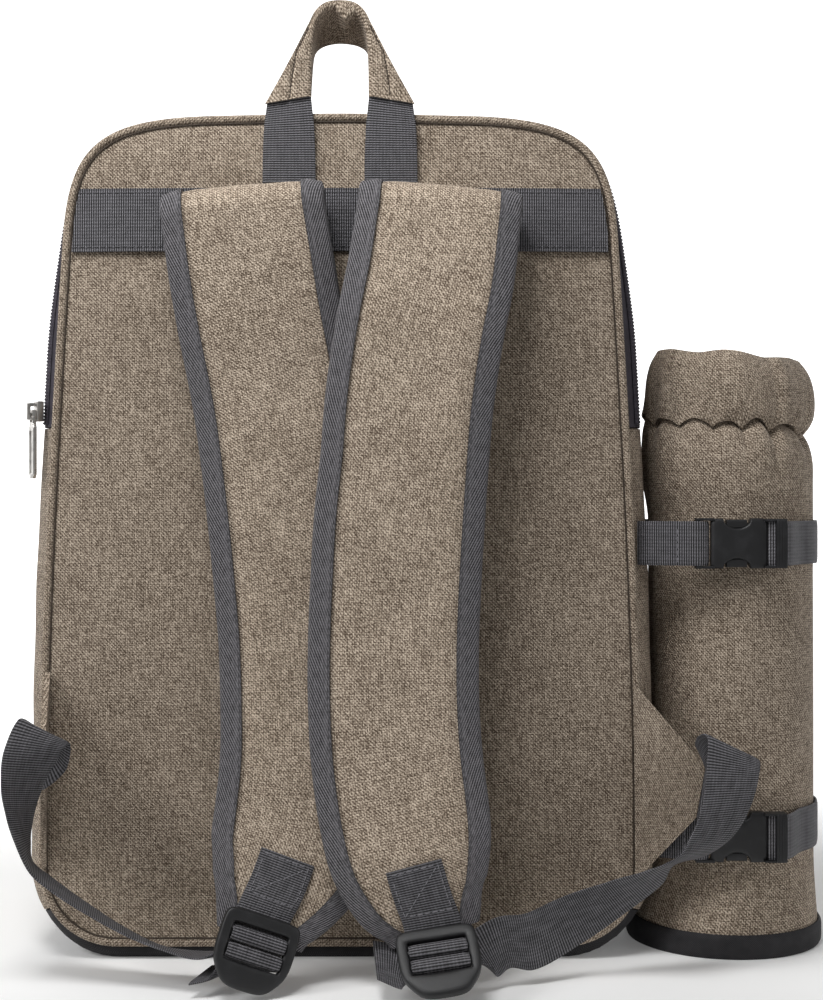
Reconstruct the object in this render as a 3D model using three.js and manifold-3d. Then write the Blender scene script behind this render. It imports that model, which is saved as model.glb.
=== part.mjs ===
import * as THREE from 'three';
import Module from 'manifold-3d';

// Picnic backpack in millimetres, Z up, worn side facing -Y, standing on its base at Z = 0.

const BACK_Y = -85;
const FRONT_Y = 85;
const DEPTH = FRONT_Y - BACK_Y;
const WALL = 2.4;
const SEAM_GAP = 2.6;

// Bulge of the gusset beyond the seam outline and the depth over which it rises.
const SIDE_BULGE = 13;
const SHOULDER_BULGE = 6.5;
const SHOULDER_FROM_Z = 295;
const SHOULDER_TO_Z = 385;
const SIDE_RISE = 26;
const TOP_BULGE = 7;
const TOP_RISE = 24;
const BASE_DROP = 10.4;
const BASE_RISE = 12;

// Right half of the seam outline from the middle of the base to the middle of the top.
const OUTLINE = [
  { from: [0, 10.4], c1: [36, 10.4], c2: [72, 10.4], to: [108, 10.4], steps: 1 },
  { from: [108, 10.4], c1: [128, 10.4], c2: [142.5, 26], to: [142.5, 46], steps: 5 },
  { from: [142.5, 46], c1: [142.5, 150], c2: [137.5, 240], to: [131, 345], steps: 4 },
  { from: [131, 345], c1: [128.4, 392], c2: [118, 404.4], to: [58, 405.4], steps: 7 },
  { from: [58, 405.4], c1: [38, 405.8], c2: [19, 406.5], to: [0, 406.5], steps: 1 },
];
const BASE_EDGE_Z = 26;
const ZIP_END_Z = 258;
const PIPING_RADIUS = 2.1;
const PIPING_OFFSET = 2.0;

const PANEL_EDGE = 0.5;
const BACK_PUFF = 4.4;
const FRONT_PUFF = 6;
const PANEL_MID_Z = 208;
const PANEL_HALF_Z = 198;

const ZIP_TAPE_END = 25.4;
const COIL_FROM = 11.8;
const COIL_TO = 16.2;
const COIL_HEIGHT = 1.9;
const SLIDER_Z = 266;
const PULL_LENGTH = 33;
const PULL_WIDTH = 9;
const PULL_THICK = 1.8;
const BAIL_AXIS = 7.25;

const BAND_LOW = 343;
const BAND_HIGH = 373.5;
const WEB_THICK = 1.5;
const WEB_WIDTH = 26;
const HANDLE_HALF_SPAN = 24.6;
const HANDLE_WEB_WIDTH = 25.6;
const HANDLE_Y = -89.4;
const SLEEVE_THICK = 2.6;
const SLEEVE_SQUARE = 0.2;

const STRAP_HALF_THICK = 5.5;
const STRAP_EDGE_HALF_THICK = 2.4;
const FOLD_RADIUS = 7.6;
const FOLD_LEAN = 0.62;
const ROOT_LENGTH = 14;
const ROOT_WIDTH = 72;
const ROOT_Y = -95;
const BINDING_WIDTH = 10.4;
const BINDING_THICK = 1.2;
const GAP = 0.3;

// Hanging run of each shoulder strap: middle line and full width over the binding.
const STRAP_LEFT = [
  { x: -44.7, y: -111, z: 360, width: 77 },
  { x: -40.9, y: -110, z: 333.4, width: 78 },
  { x: -37.1, y: -108, z: 309.7, width: 78 },
  { x: -29.7, y: -106, z: 270.2, width: 78 },
  { x: -24.1, y: -106, z: 227.7, width: 78 },
  { x: -19.3, y: -106, z: 185.2, width: 79 },
  { x: -16.9, y: -107, z: 157, width: 79 },
  { x: -15.8, y: -109, z: 128.9, width: 79 },
  { x: -15.6, y: -112, z: 101.2, width: 79 },
  { x: -18.1, y: -115, z: 74.1, width: 79 },
  { x: -22.4, y: -119, z: 56.3, width: 75 },
  { x: -28, y: -124.5, z: 41, width: 62 },
  { x: -33, y: -130, z: 28.5, width: 46 },
];
const STRAP_RIGHT = [
  { x: 47.7, y: -111.5, z: 360, width: 77 },
  { x: 43.4, y: -116, z: 327.9, width: 78 },
  { x: 38.7, y: -119, z: 303.8, width: 78 },
  { x: 33.6, y: -120, z: 269.4, width: 78 },
  { x: 31.3, y: -120, z: 241.5, width: 78 },
  { x: 28.9, y: -120, z: 213.7, width: 79 },
  { x: 27.3, y: -120, z: 185.9, width: 79 },
  { x: 26.2, y: -120.5, z: 158.1, width: 79 },
  { x: 26.2, y: -122, z: 130.5, width: 79 },
  { x: 27.8, y: -124, z: 103.2, width: 79 },
  { x: 31.5, y: -128, z: 76.2, width: 78 },
  { x: 34.5, y: -131.5, z: 58.8, width: 74 },
  { x: 39, y: -133, z: 42.5, width: 63 },
  { x: 43.5, y: -133.5, z: 31, width: 48 },
];

// Ladder locks: origin in the middle of the top edge, length direction and width direction.
const LOCK_LENGTH = 34;
const LOCK_HALF_WIDTH = 18.4;
const LOCK_HALF_THICK = 2.25;
const LOCK_WINDOW_HALF = 15;
const LOCK_LEFT = {
  origin: [-31.2, -141, 35.6],
  down: [-0.287, -0.3125, -0.906],
  across: [0.889, 0.26, -0.371],
};
const LOCK_RIGHT = {
  origin: [44.5, -143.5, 30.5],
  down: [0.16, -0.72, -0.675],
  across: [0.97, 0.1, 0.12],
};
const LOCK_WINDOW = { from: 6, to: 24.5 };
const LOCK_BAR_A = { from: 9.5, to: 12.5 };
const LOCK_BAR_B = { from: 17, to: 20 };
const LOCK_BAR_HALF = 1.6;

// Webbing around the two bars of a lock: distance along the lock, distance out of it.
const TAB_HOOK = [
  [1, -4.2], [6, -3.5], [7.8, -0.5], [8.8, 2.1], [11, 2.7],
  [13.2, 2.1], [13.7, 0], [13, -2.4], [11, -2.7],
];
const WEB_OVER_BAR = [
  [14.2, -7.2], [14.6, -5], [14.9, -3], [15.45, 0], [16.3, 2.25],
  [18.5, 2.7], [20.6, 2.2], [21.2, 0], [21.6, -3],
];

// Webbing runs: middle line and width direction of each section.
const ADJUSTER_LEFT = [
  { at: [-137, -117.8, 101.2], wide: [0, 0, -1] },
  { at: [-136, -121.4, 102.6], wide: [0.1, 0, -0.99] },
  { at: [-132.4, -125.2, 109.4], wide: [0.6, 0.06, -0.79] },
  { at: [-133.2, -131.4, 117.1], wide: [0.84, 0.28, -0.46] },
  { at: [-137, -137, 109.6], wide: [0.84, 0.5, -0.17] },
  { at: [-142, -136.5, 93.3], wide: [0.52, 0.84, -0.17] },
  { at: [-144.7, -129, 76.9], wide: [0.22, 0.96, -0.16] },
  { at: [-144, -124.5, 63.6], wide: [-0.02, 1, -0.08] },
  { at: [-141.2, -122, 53.1], wide: [-0.2, 0.98, 0] },
  { at: [-130.8, -122, 44.4], wide: [-0.27, 0.96, 0.06] },
  { at: [-114.3, -122.5, 33.4], wide: [-0.23, 0.97, -0.03] },
  { at: [-96.9, -124, 23.6], wide: [-0.17, 0.97, -0.14] },
  { at: [-79.2, -127, 17], wide: [-0.13, 0.97, -0.22] },
  { at: [-61, -131, 15], wide: [0.15, 0.97, -0.15] },
  { at: [-48, -133.5, 17], wide: [0.5, 0.82, -0.2] },
];
const TAIL_LEFT = [
  { at: [-42.5, -138, 10.5], wide: [0.8, 0.55, -0.2] },
  { at: [-51, -136, 8.5], wide: [0.45, 0.88, 0] },
  { at: [-61, -136, 7.5], wide: [0.3, 0.95, 0.05] },
];
const ADJUSTER_RIGHT = [
  { at: [174.2, -91.8, 82.4], wide: [-0.17, 0, -0.98] },
  { at: [176.7, -94, 86.1], wide: [0.04, -0.11, -0.94] },
  { at: [177.2, -96.9, 94.8], wide: [0.51, -0.06, -0.82] },
  { at: [181.6, -101.5, 103.1], wide: [0.81, -0.03, -0.62] },
  { at: [186, -106.5, 105.9], wide: [0.91, 0, -0.42] },
  { at: [184.8, -113, 93.8], wide: [0.98, 0.2, -0.07] },
  { at: [181, -117, 79.6], wide: [0.94, 0.33, 0.01] },
  { at: [174.6, -118.5, 67.2], wide: [0.87, 0.49, -0.05] },
  { at: [166, -119, 58.4], wide: [0.62, 0.77, -0.15] },
  { at: [154.8, -119, 54], wide: [0.29, 0.93, -0.21] },
  { at: [147.2, -118.5, 47.6], wide: [0.41, 0.81, -0.41] },
  { at: [133.3, -118, 40.2], wide: [0.48, 0.64, -0.6] },
  { at: [108.8, -121, 28.5], wide: [0.42, 0.28, -0.86] },
  { at: [88.9, -127, 20.2], wide: [0.18, 0, -0.98] },
  { at: [76.4, -133, 21.3], wide: [0.13, 0.49, -0.86] },
  { at: [67, -135.8, 16.6], wide: [0.66, 0.2, -0.72] },
  { at: [57, -141.2, 16.4], wide: [0.94, 0.1, -0.26] },
];
const TAIL_RIGHT = [
  { at: [42, -147, 11], wide: [0.78, 0.62, 0.05] },
  { at: [32, -142, 11.5], wide: [0.2, 0.8, 0.55] },
  { at: [18, -139.5, 13], wide: [-0.1, 0.76, 0.62] },
];
const TAB_LEFT = [
  { at: [-22.4, -124.6, 58.6], wide: [0.93, 0.02, -0.35] },
  { at: [-26.8, -129.3, 46.5], wide: [0.92, 0.05, -0.36] },
];
const TAB_RIGHT = [
  { at: [35.4, -138.6, 57.5], wide: [0.96, 0.02, 0.25] },
  { at: [40, -139.4, 42.5], wide: [0.97, 0.05, 0.2] },
  { at: [43.4, -139.8, 33.5], wide: [0.97, 0.05, 0.16] },
];

// Wings: corners at the seam and at the webbing, upper before lower.
const WING_THICK = 2.4;
const WING_RIGHT = {
  seam: [[142.2, -88.4, 134.4], [142.6, -88.4, 39]],
  tip: [[175.8, -91.6, 94.7], [171.4, -91.6, 70.3]],
};
const WING_LEFT = {
  seam: [[-141.6, -87.2, 139.6], [-143.4, -87.2, 45]],
  tip: [[-137, -117.4, 113.6], [-137, -117.4, 88.8]],
};

// Left half of the grab handle sleeve: middle line, width direction from outer to inner edge, half width.
const SLEEVE = [
  { at: [-24.6, -89.4, 415.9], wide: [1, 0, 0], half: 11 },
  { at: [-22.8, -89.5, 420.9], wide: [0.98, 0.2, 0.1], half: 10 },
  { at: [-20.4, -89.6, 429.8], wide: [0.76, 0.65, 0.02], half: 10 },
  { at: [-18, -89.7, 437.3], wide: [0.51, 0.85, -0.11], half: 10.6 },
  { at: [-15.7, -89.8, 443.3], wide: [0.33, 0.9, -0.29], half: 10.9 },
  { at: [-12.4, -89.9, 447.9], wide: [0.22, 0.81, -0.55], half: 11.5 },
  { at: [-7.7, -90, 451.2], wide: [0.18, 0.64, -0.74], half: 12 },
  { at: [0, -90.1, 452.8], wide: [0, 0.59, -0.81], half: 12.4 },
];

// Bottle pouch: outer and inner profile, depth of the gathers and slant at each height.
const POUCH_X = 198;
const POUCH_Y = -38;
const POUCH_SEGMENTS = 48;
const GATHERS = 16;
const POUCH_OUTER = [
  { r: 47.4, z: 2.8, fold: 0, slant: 0, shift: -3.6 },
  { r: 46.4, z: 12, fold: 0, slant: 0, shift: -2.6 },
  { r: 42, z: 39, fold: 0, slant: 0, shift: 0 },
  { r: 41.4, z: 236, fold: 0.3, slant: -2, shift: 0 },
  { r: 40.4, z: 248, fold: 1, slant: -5, shift: 0 },
  { r: 38.4, z: 256, fold: 2, slant: -5.5, shift: 0 },
  { r: 35.4, z: 260, fold: 1.6, slant: -5.5, shift: 0 },
  { r: 38.2, z: 264, fold: 2.2, slant: -5.5, shift: 0 },
  { r: 41.4, z: 273, fold: 1.4, slant: -4.5, shift: 0 },
  { r: 40.2, z: 287, fold: 1.2, slant: -3.4, shift: -0.5 },
  { r: 34.6, z: 297.4, fold: 1.2, slant: -3.2, shift: -1 },
];
const POUCH_INNER = [
  { r: 30.6, z: 293, fold: 1, slant: -3.2, shift: -1 },
  { r: 33.2, z: 279, fold: 0.8, slant: -4, shift: 0 },
  { r: 31.6, z: 260, fold: 1, slant: -5.5, shift: 0 },
  { r: 36.4, z: 244, fold: 0.3, slant: -4, shift: 0 },
  { r: 38.3, z: 39, fold: 0, slant: 0, shift: 0 },
  { r: 43.4, z: 2.8, fold: 0, slant: 0, shift: -3.6 },
];
const POUCH_BASE_RADIUS = 46;
const POUCH_BASE_THICK = 2.5;
const BASE_BINDING_HEIGHT = 11.6;
const POUCH_BASE_X = 194.6;
const BASE_BINDING_GAP = 0.5;
const BASE_BINDING_THICK = 1.6;

// Pouch straps and side-release buckles.
const POUCH_STRAP_Z = { upper: 202, lower: 60 };
const POUCH_WEB_WIDTH = 21.5;
const POUCH_WEB_RADIUS = 43.4;
const BUCKLE_X = 194;
const BUCKLE_Y = -86.6;
const BUCKLE_HALF_HEIGHT = 12.2;
const BUCKLE_HALF_THICK = 3.4;

const COLOURS = {
  cloth: { colour: 0x948778, roughness: 0.9, metalness: 0 },
  webbing: { colour: 0x5a585c, roughness: 0.75, metalness: 0 },
  tape: { colour: 0x48454b, roughness: 0.8, metalness: 0 },
  binding: { colour: 0x5c5a60, roughness: 0.8, metalness: 0 },
  plastic: { colour: 0x2e2d30, roughness: 0.45, metalness: 0 },
  base: { colour: 0x2f2e30, roughness: 0.85, metalness: 0 },
  nickel: { colour: 0xb9b7b2, roughness: 0.3, metalness: 1 },
};

const wasm = await Module();
wasm.setup();
const group = new THREE.Group();
group.name = 'picnic_backpack';

function vec(a) {
  return new THREE.Vector3(a[0], a[1], a[2]);
}

function add(name, finish, geometry) {
  const look = COLOURS[finish];
  const material = new THREE.MeshStandardMaterial({
    color: look.colour,
    roughness: look.roughness,
    metalness: look.metalness,
  });
  const mesh = new THREE.Mesh(geometry, material);
  mesh.name = name;
  group.add(mesh);
}

// Closed solid from points and triangle indices, turned to face out.
function solid(points, faces) {
  let volume = 0;
  for (let i = 0; i < faces.length; i += 3) {
    const a = points[faces[i]];
    const b = points[faces[i + 1]];
    const c = points[faces[i + 2]];
    volume += a.dot(b.clone().cross(c));
  }
  const order = [...faces];
  if (volume < 0) {
    order.reverse();
  }
  const geometry = new THREE.BufferGeometry();
  const flat = points.flatMap((p) => [p.x, p.y, p.z]);
  geometry.setAttribute('position', new THREE.Float32BufferAttribute(flat, 3));
  geometry.setIndex(order);
  geometry.computeVertexNormals();
  return geometry;
}

// Skin through rings of equal length; each ring is one face there and the other face back.
// Both faces are split along the same diagonal, so a twisted wall keeps its thickness.
function loft(rings, closed = false) {
  const size = rings[0].length;
  const count = rings.length;
  const faces = [];
  const quad = (a, b, c, d) => faces.push(a, b, c, a, c, d);
  const spans = closed ? count : count - 1;
  for (let i = 0; i < spans; i += 1) {
    const from = i * size;
    const to = ((i + 1) % count) * size;
    for (let k = 0; k < size; k += 1) {
      const next = (k + 1) % size;
      if (k < size / 2) {
        quad(from + k, from + next, to + next, to + k);
      } else {
        quad(from + next, to + next, to + k, from + k);
      }
    }
  }
  if (!closed) {
    const last = (count - 1) * size;
    for (let k = 0; k < size / 2 - 1; k += 1) {
      const m = size - 1 - k;
      quad(k, m, m - 1, k + 1);
      quad(last + k, last + k + 1, last + m - 1, last + m);
    }
  }
  return solid(rings.flat(), faces);
}

function toManifold(geometry) {
  const position = geometry.getAttribute('position');
  const keys = new Map();
  const points = [];
  const index = geometry.index ? [...geometry.index.array] : [...Array(position.count).keys()];
  const slot = index.map((i) => {
    const p = [position.getX(i), position.getY(i), position.getZ(i)];
    const key = p.map((v) => Math.round(v * 1e4)).join(',');
    if (!keys.has(key)) {
      keys.set(key, points.length / 3);
      points.push(...p);
    }
    return keys.get(key);
  });
  const vertProperties = new Float32Array(points);
  const triVerts = new Uint32Array(slot);
  return new wasm.Manifold(new wasm.Mesh({ numProp: 3, vertProperties, triVerts }));
}

function fromManifold(body) {
  const mesh = body.getMesh();
  const geometry = new THREE.BufferGeometry();
  geometry.setAttribute('position', new THREE.Float32BufferAttribute(mesh.vertProperties, 3));
  geometry.setIndex([...mesh.triVerts]);
  geometry.computeVertexNormals();
  return geometry;
}

// Box between two corners in a local frame.
function block(lo, hi) {
  const box = new THREE.BoxGeometry(hi[0] - lo[0], hi[1] - lo[1], hi[2] - lo[2]);
  box.translate((lo[0] + hi[0]) / 2, (lo[1] + hi[1]) / 2, (lo[2] + hi[2]) / 2);
  return toManifold(box);
}

// Straight-sided plate from a flat outline, between two heights of the third axis.
function plate(outline, low, high) {
  const shape = new THREE.Shape(outline.map((p) => new THREE.Vector2(p[0], p[1])));
  const body = new THREE.ExtrudeGeometry(shape, { depth: high - low, bevelEnabled: false });
  body.translate(0, 0, low);
  return toManifold(body);
}

// Frame with origin and three directions; local x, y, z go to across, along, out.
function frameMatrix(origin, across, along, out) {
  const basis = new THREE.Matrix4().makeBasis(across, along, out);
  return new THREE.Matrix4().makeTranslation(origin.x, origin.y, origin.z).multiply(basis);
}

// Seam outline at k, the table row plus the share of it; side is 1 right and -1 left.
function seam(k, side = 1) {
  const row = OUTLINE[Math.min(OUTLINE.length - 1, Math.floor(k))];
  const t = k - OUTLINE.indexOf(row);
  const s = 1 - t;
  const mix = (a, b, c, d) => s * s * s * a + 3 * s * s * t * b + 3 * s * t * t * c + t * t * t * d;
  const slope = (a, b, c, d) => s * s * (b - a) + 2 * s * t * (c - b) + t * t * (d - c);
  const x = mix(row.from[0], row.c1[0], row.c2[0], row.to[0]);
  const z = mix(row.from[1], row.c1[1], row.c2[1], row.to[1]);
  const dx = slope(row.from[0], row.c1[0], row.c2[0], row.to[0]);
  const dz = slope(row.from[1], row.c1[1], row.c2[1], row.to[1]);
  const length = Math.hypot(dx, dz);
  return { x: side * x, z, nx: (side * dz) / length, nz: -dx / length };
}

// Place on the outline at a height, by halving.
function seamAtHeight(z) {
  let low = 1;
  let high = OUTLINE.length;
  for (let i = 0; i < 40; i += 1) {
    const mid = (low + high) / 2;
    if (seam(mid).z < z) {
      low = mid;
    } else {
      high = mid;
    }
  }
  return (low + high) / 2;
}

// Places from k0 to k1 with the steps of each table row.
function run(k0, k1) {
  const list = [];
  for (let row = Math.floor(k0); row < k1; row += 1) {
    const from = Math.max(k0, row);
    const to = Math.min(k1, row + 1);
    const steps = Math.max(1, Math.round(OUTLINE[row].steps * (to - from)));
    for (let i = 0; i < steps; i += 1) {
      list.push(from + ((to - from) * i) / steps);
    }
  }
  list.push(k1);
  return list;
}

// Up the right side, over the middle, down the left side.
function bothSides(ks) {
  const right = ks.map((k) => seam(k, 1));
  const left = ks.slice(0, -1).reverse().map((k) => seam(k, -1));
  return [...right, ...left];
}

function gussetPoint(p, d, offset) {
  const side = p.nx * p.nx;
  const end = p.nz * p.nz;
  const shoulder = THREE.MathUtils.smoothstep(p.z, SHOULDER_FROM_Z, SHOULDER_TO_Z);
  const sideBulge = THREE.MathUtils.lerp(SIDE_BULGE, SHOULDER_BULGE, shoulder);
  const bulge = sideBulge * side + (p.nz > 0 ? TOP_BULGE : BASE_DROP) * end;
  const rise = SIDE_RISE * side + (p.nz > 0 ? TOP_RISE : BASE_RISE) * end;
  const near = Math.min(d, DEPTH - d);
  const b = bulge * Math.sin((Math.PI / 2) * Math.min(1, near / rise)) + offset;
  return new THREE.Vector3(p.x + p.nx * b, BACK_Y + d, p.z + p.nz * b);
}

function gussetShell(places, depths, outer, inner) {
  const rings = places.map((p) => {
    const face = depths.map((d) => gussetPoint(p, d, outer));
    const back = depths.map((d) => gussetPoint(p, d, inner));
    return [...face, ...back.reverse()];
  });
  return loft(rings);
}

// Gusset, bottom, zip.
const lowEnd = seamAtHeight(BASE_EDGE_Z);
const zipEnd = seamAtHeight(ZIP_END_Z);
const sideDepths = [SEAM_GAP, 8, 14, 20, 26, 85, 144, 153, 162, DEPTH - SEAM_GAP];
const topDepths = [ZIP_TAPE_END + GAP, 85, 144, 153, 162, DEPTH - SEAM_GAP];
const zipDepths = [SEAM_GAP, 8, 14, 20, ZIP_TAPE_END];
const baseDepths = [SEAM_GAP, 5, 8, 12, 158, 162, 165, DEPTH - SEAM_GAP];
const kGap = 0.0012;
const sidePlaces = run(lowEnd + 0.012, zipEnd - kGap);
add('side_panel_right', 'cloth', gussetShell(sidePlaces.map((k) => seam(k, 1)), sideDepths, 0, -WALL));
add('side_panel_left', 'cloth', gussetShell(sidePlaces.map((k) => seam(k, -1)), sideDepths, 0, -WALL));
const overTop = bothSides(run(zipEnd + kGap, OUTLINE.length));
add('top_gusset', 'cloth', gussetShell(overTop, topDepths, 0, -WALL));
add('zip_tape', 'tape', gussetShell(overTop, zipDepths, -0.2, -1.6));
const coilPlaces = bothSides(run(seamAtHeight(ZIP_END_Z + 1.5), OUTLINE.length));
add('zip_coil', 'tape', gussetShell(coilPlaces, [COIL_FROM, COIL_TO], COIL_HEIGHT, GAP));
const underBase = bothSides(run(0, lowEnd).reverse());
add('bottom_panel', 'base', gussetShell(underBase, baseDepths, 0, -WALL));

// Piping around the back and front seams.
function piping(y) {
  const ks = run(0, OUTLINE.length);
  const places = bothSides(ks).slice(0, -1);
  const rings = places.map((p) => {
    const ring = [];
    for (let i = 0; i < 6; i += 1) {
      const a = (Math.PI * i) / 3;
      const out = PIPING_OFFSET + PIPING_RADIUS * Math.cos(a);
      const across = PIPING_RADIUS * Math.sin(a);
      ring.push(new THREE.Vector3(p.x + p.nx * out, y + across, p.z + p.nz * out));
    }
    return ring;
  });
  return loft(rings, true);
}
add('back_piping', 'cloth', piping(BACK_Y));
add('front_piping', 'cloth', piping(FRONT_Y));

// Panels: rows across the outline, puffed towards the middle.
function panelPuff(share, z, puff) {
  const up = (z - PANEL_MID_Z) / PANEL_HALF_Z;
  return puff * (1 - share ** 4) * Math.max(0, 1 - up ** 4);
}
const panelShares = [-1, -0.95, -0.84, -0.6, -0.2, 0.2, 0.6, 0.84, 0.95, 1];
const plainShares = [-1, -0.9, -0.5, 0.5, 0.9, 1];
function panel(y, outward, puff, thick) {
  const shares = thick === 0 ? panelShares : plainShares;
  const ks = [...run(1, 4), 4.3, 4.6];
  const rings = ks.map((k) => {
    const p = seam(k);
    const half = p.x - p.nx * PANEL_EDGE;
    const z = p.z - p.nz * PANEL_EDGE;
    const face = shares.map((s) => {
      const out = 0.8 + panelPuff(s, z, puff);
      return new THREE.Vector3(s * half, y + outward * out, z);
    });
    const back = shares.map((s) => {
      const out = thick === 0 ? -1.4 : 0.8 - thick + panelPuff(s, z, puff);
      return new THREE.Vector3(s * half, y + outward * out, z);
    });
    return [...face, ...back.reverse()];
  });
  return loft(rings);
}
add('back_panel', 'cloth', panel(BACK_Y, -1, BACK_PUFF, 0));
add('front_panel', 'cloth', panel(FRONT_Y, 1, FRONT_PUFF, WALL));

// Webbing band lying on the back panel.
function backFace(x, z) {
  const half = seam(seamAtHeight(z)).x - PANEL_EDGE;
  return BACK_Y - 0.8 - panelPuff(x / half, z, BACK_PUFF);
}
const bandHeights = [BAND_LOW, (BAND_LOW + BAND_HIGH) / 2, BAND_HIGH];
const bandRings = panelShares.map((s) => {
  const at = (z, lift) => {
    const x = s * (seam(seamAtHeight(z)).x - 1.2);
    return new THREE.Vector3(x, backFace(x, z) - lift, z);
  };
  const face = bandHeights.map((z) => at(z, GAP + 0.1 + WEB_THICK));
  const back = bandHeights.map((z) => at(z, GAP + 0.1));
  return [...face, ...back.reverse()];
});
add('webbing_band', 'webbing', loft(bandRings));

// Ribbon through table rows: middle line, width direction, full width, thickness.
// A slanting width direction shears the ribbon, so its edges never run back on themselves.
function ribbon(rows, width, thick, steps) {
  const line = new THREE.CatmullRomCurve3(rows.map((r) => vec(r.at)), false, 'centripetal');
  const sides = new THREE.CatmullRomCurve3(rows.map((r) => vec(r.wide)), false, 'catmullrom', 0.4);
  const count = (rows.length - 1) * steps;
  const rings = [];
  for (let i = 0; i <= count; i += 1) {
    const t = i / count;
    const p = line.getPoint(t);
    const ahead = line.getTangent(t);
    const side = sides.getPoint(t).normalize();
    const out = new THREE.Vector3().crossVectors(side, ahead).normalize();
    const w = width / 2;
    const h = thick / 2;
    const corner = (a, b) => p.clone().addScaledVector(side, a).addScaledVector(out, b);
    rings.push([corner(-w, h), corner(w, h), corner(w, -h), corner(-w, -h)]);
  }
  return loft(rings);
}

// Grab handle.
for (const [name, side] of [['handle_webbing_left', -1], ['handle_webbing_right', 1]]) {
  const x = side * HANDLE_HALF_SPAN;
  const rows = [374.2, 395, 415.2].map((z) => ({ at: [x, HANDLE_Y, z], wide: [1, 0, 0] }));
  add(name, 'webbing', ribbon(rows, HANDLE_WEB_WIDTH, WEB_THICK, 1));
}
const sleeveRight = SLEEVE.slice(0, -1).reverse().map((r) => ({
  at: [-r.at[0], r.at[1], r.at[2]],
  wide: [-r.wide[0], r.wide[1], r.wide[2]],
  half: r.half,
}));
function sleeve() {
  const rows = [...SLEEVE, ...sleeveRight];
  const line = new THREE.CatmullRomCurve3(rows.map((r) => vec(r.at)), false, 'centripetal');
  const sides = new THREE.CatmullRomCurve3(rows.map((r) => vec(r.wide)), false, 'catmullrom', 0.4);
  const rings = [];
  const count = (rows.length - 1) * 2;
  for (let i = 0; i <= count; i += 1) {
    const p = line.getPoint(i / count);
    const ahead = line.getTangent(i / count);
    const side = sides.getPoint(i / count);
    side.addScaledVector(ahead, -SLEEVE_SQUARE * side.dot(ahead)).normalize();
    const row = Math.floor(i / 2);
    const half = (rows[row].half + rows[Math.min(row + (i % 2), rows.length - 1)].half) / 2;
    const out = new THREE.Vector3().crossVectors(side, ahead).normalize();
    const h = SLEEVE_THICK / 2;
    const shares = [[-1, 0.45], [-0.8, 1], [0.8, 1], [1, 0.45]];
    const corner = (a, b) => p.clone().addScaledVector(side, a * half).addScaledVector(out, b * h);
    const face = shares.map(([a, b]) => corner(a, b));
    const back = shares.map(([a, b]) => corner(a, -b));
    rings.push([...face, ...back.reverse()]);
  }
  return loft(rings);
}
add('handle_sleeve', 'cloth', sleeve());

// Shoulder straps: a fold at the top, then the hanging run.
function strapSections(rows) {
  const first = vec([rows[0].x, rows[0].y, rows[0].z]);
  const second = vec([rows[1].x, rows[1].y, rows[1].z]);
  const down = second.clone().sub(first);
  down.y = 0;
  down.x *= FOLD_LEAN;
  down.normalize();
  const across = new THREE.Vector3(-down.z, 0, down.x);
  const sections = [];
  const root = new THREE.Vector3(first.x, ROOT_Y, first.z);
  const rootAhead = down.clone().negate();
  root.addScaledVector(down, ROOT_LENGTH);
  sections.push({ p: root, ahead: rootAhead, side: across, width: ROOT_WIDTH, thick: 0.5 });
  for (let i = 0; i <= 4; i += 1) {
    const a = (Math.PI * i) / 4;
    const p = first.clone().add(new THREE.Vector3(0, FOLD_RADIUS * (1 + Math.cos(a)), 0));
    p.addScaledVector(down, -FOLD_RADIUS * Math.sin(a));
    const ahead = down.clone().multiplyScalar(-Math.cos(a));
    ahead.y = -Math.sin(a);
    sections.push({ p, ahead, side: across, width: rows[0].width, thick: 0.55 + 0.1125 * i });
  }
  const line = new THREE.CatmullRomCurve3(rows.map((r) => vec([r.x, r.y, r.z])), false, 'centripetal');
  for (let i = 1; i < rows.length; i += 1) {
    const ahead = line.getTangent(i / (rows.length - 1));
    const flat = Math.hypot(ahead.x, ahead.z);
    const side = new THREE.Vector3(-ahead.z / flat, 0, ahead.x / flat);
    const end = Math.min(1, (rows.length - 1 - i) / 3);
    const thick = 0.62 + 0.38 * end;
    sections.push({ p: vec([rows[i].x, rows[i].y, rows[i].z]), ahead, side, width: rows[i].width, thick });
  }
  return sections;
}
function strapHalfThick(inside) {
  const share = Math.min(1, Math.max(0, inside) / 18);
  const swell = STRAP_HALF_THICK - STRAP_EDGE_HALF_THICK;
  return STRAP_EDGE_HALF_THICK + swell * Math.sin((Math.PI / 2) * share);
}
function strapPoint(section, a, h) {
  const out = new THREE.Vector3().crossVectors(section.ahead, section.side).normalize();
  return section.p.clone().addScaledVector(section.side, a).addScaledVector(out, h);
}
function strapPad(sections) {
  const rings = sections.map((s) => {
    const half = s.width / 2 - BINDING_THICK - GAP;
    const lap = BINDING_WIDTH - BINDING_THICK - GAP;
    const insides = [0, 4, lap, half, lap, 4, 0];
    const places = [-half, -half + 4, -half + lap, 0, half - lap, half - 4, half];
    const face = places.map((a, i) => strapPoint(s, a, s.thick * strapHalfThick(insides[i])));
    const back = places.map((a, i) => strapPoint(s, a, -s.thick * strapHalfThick(insides[i])));
    return [...face, ...back.reverse()];
  });
  return loft(rings);
}
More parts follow.
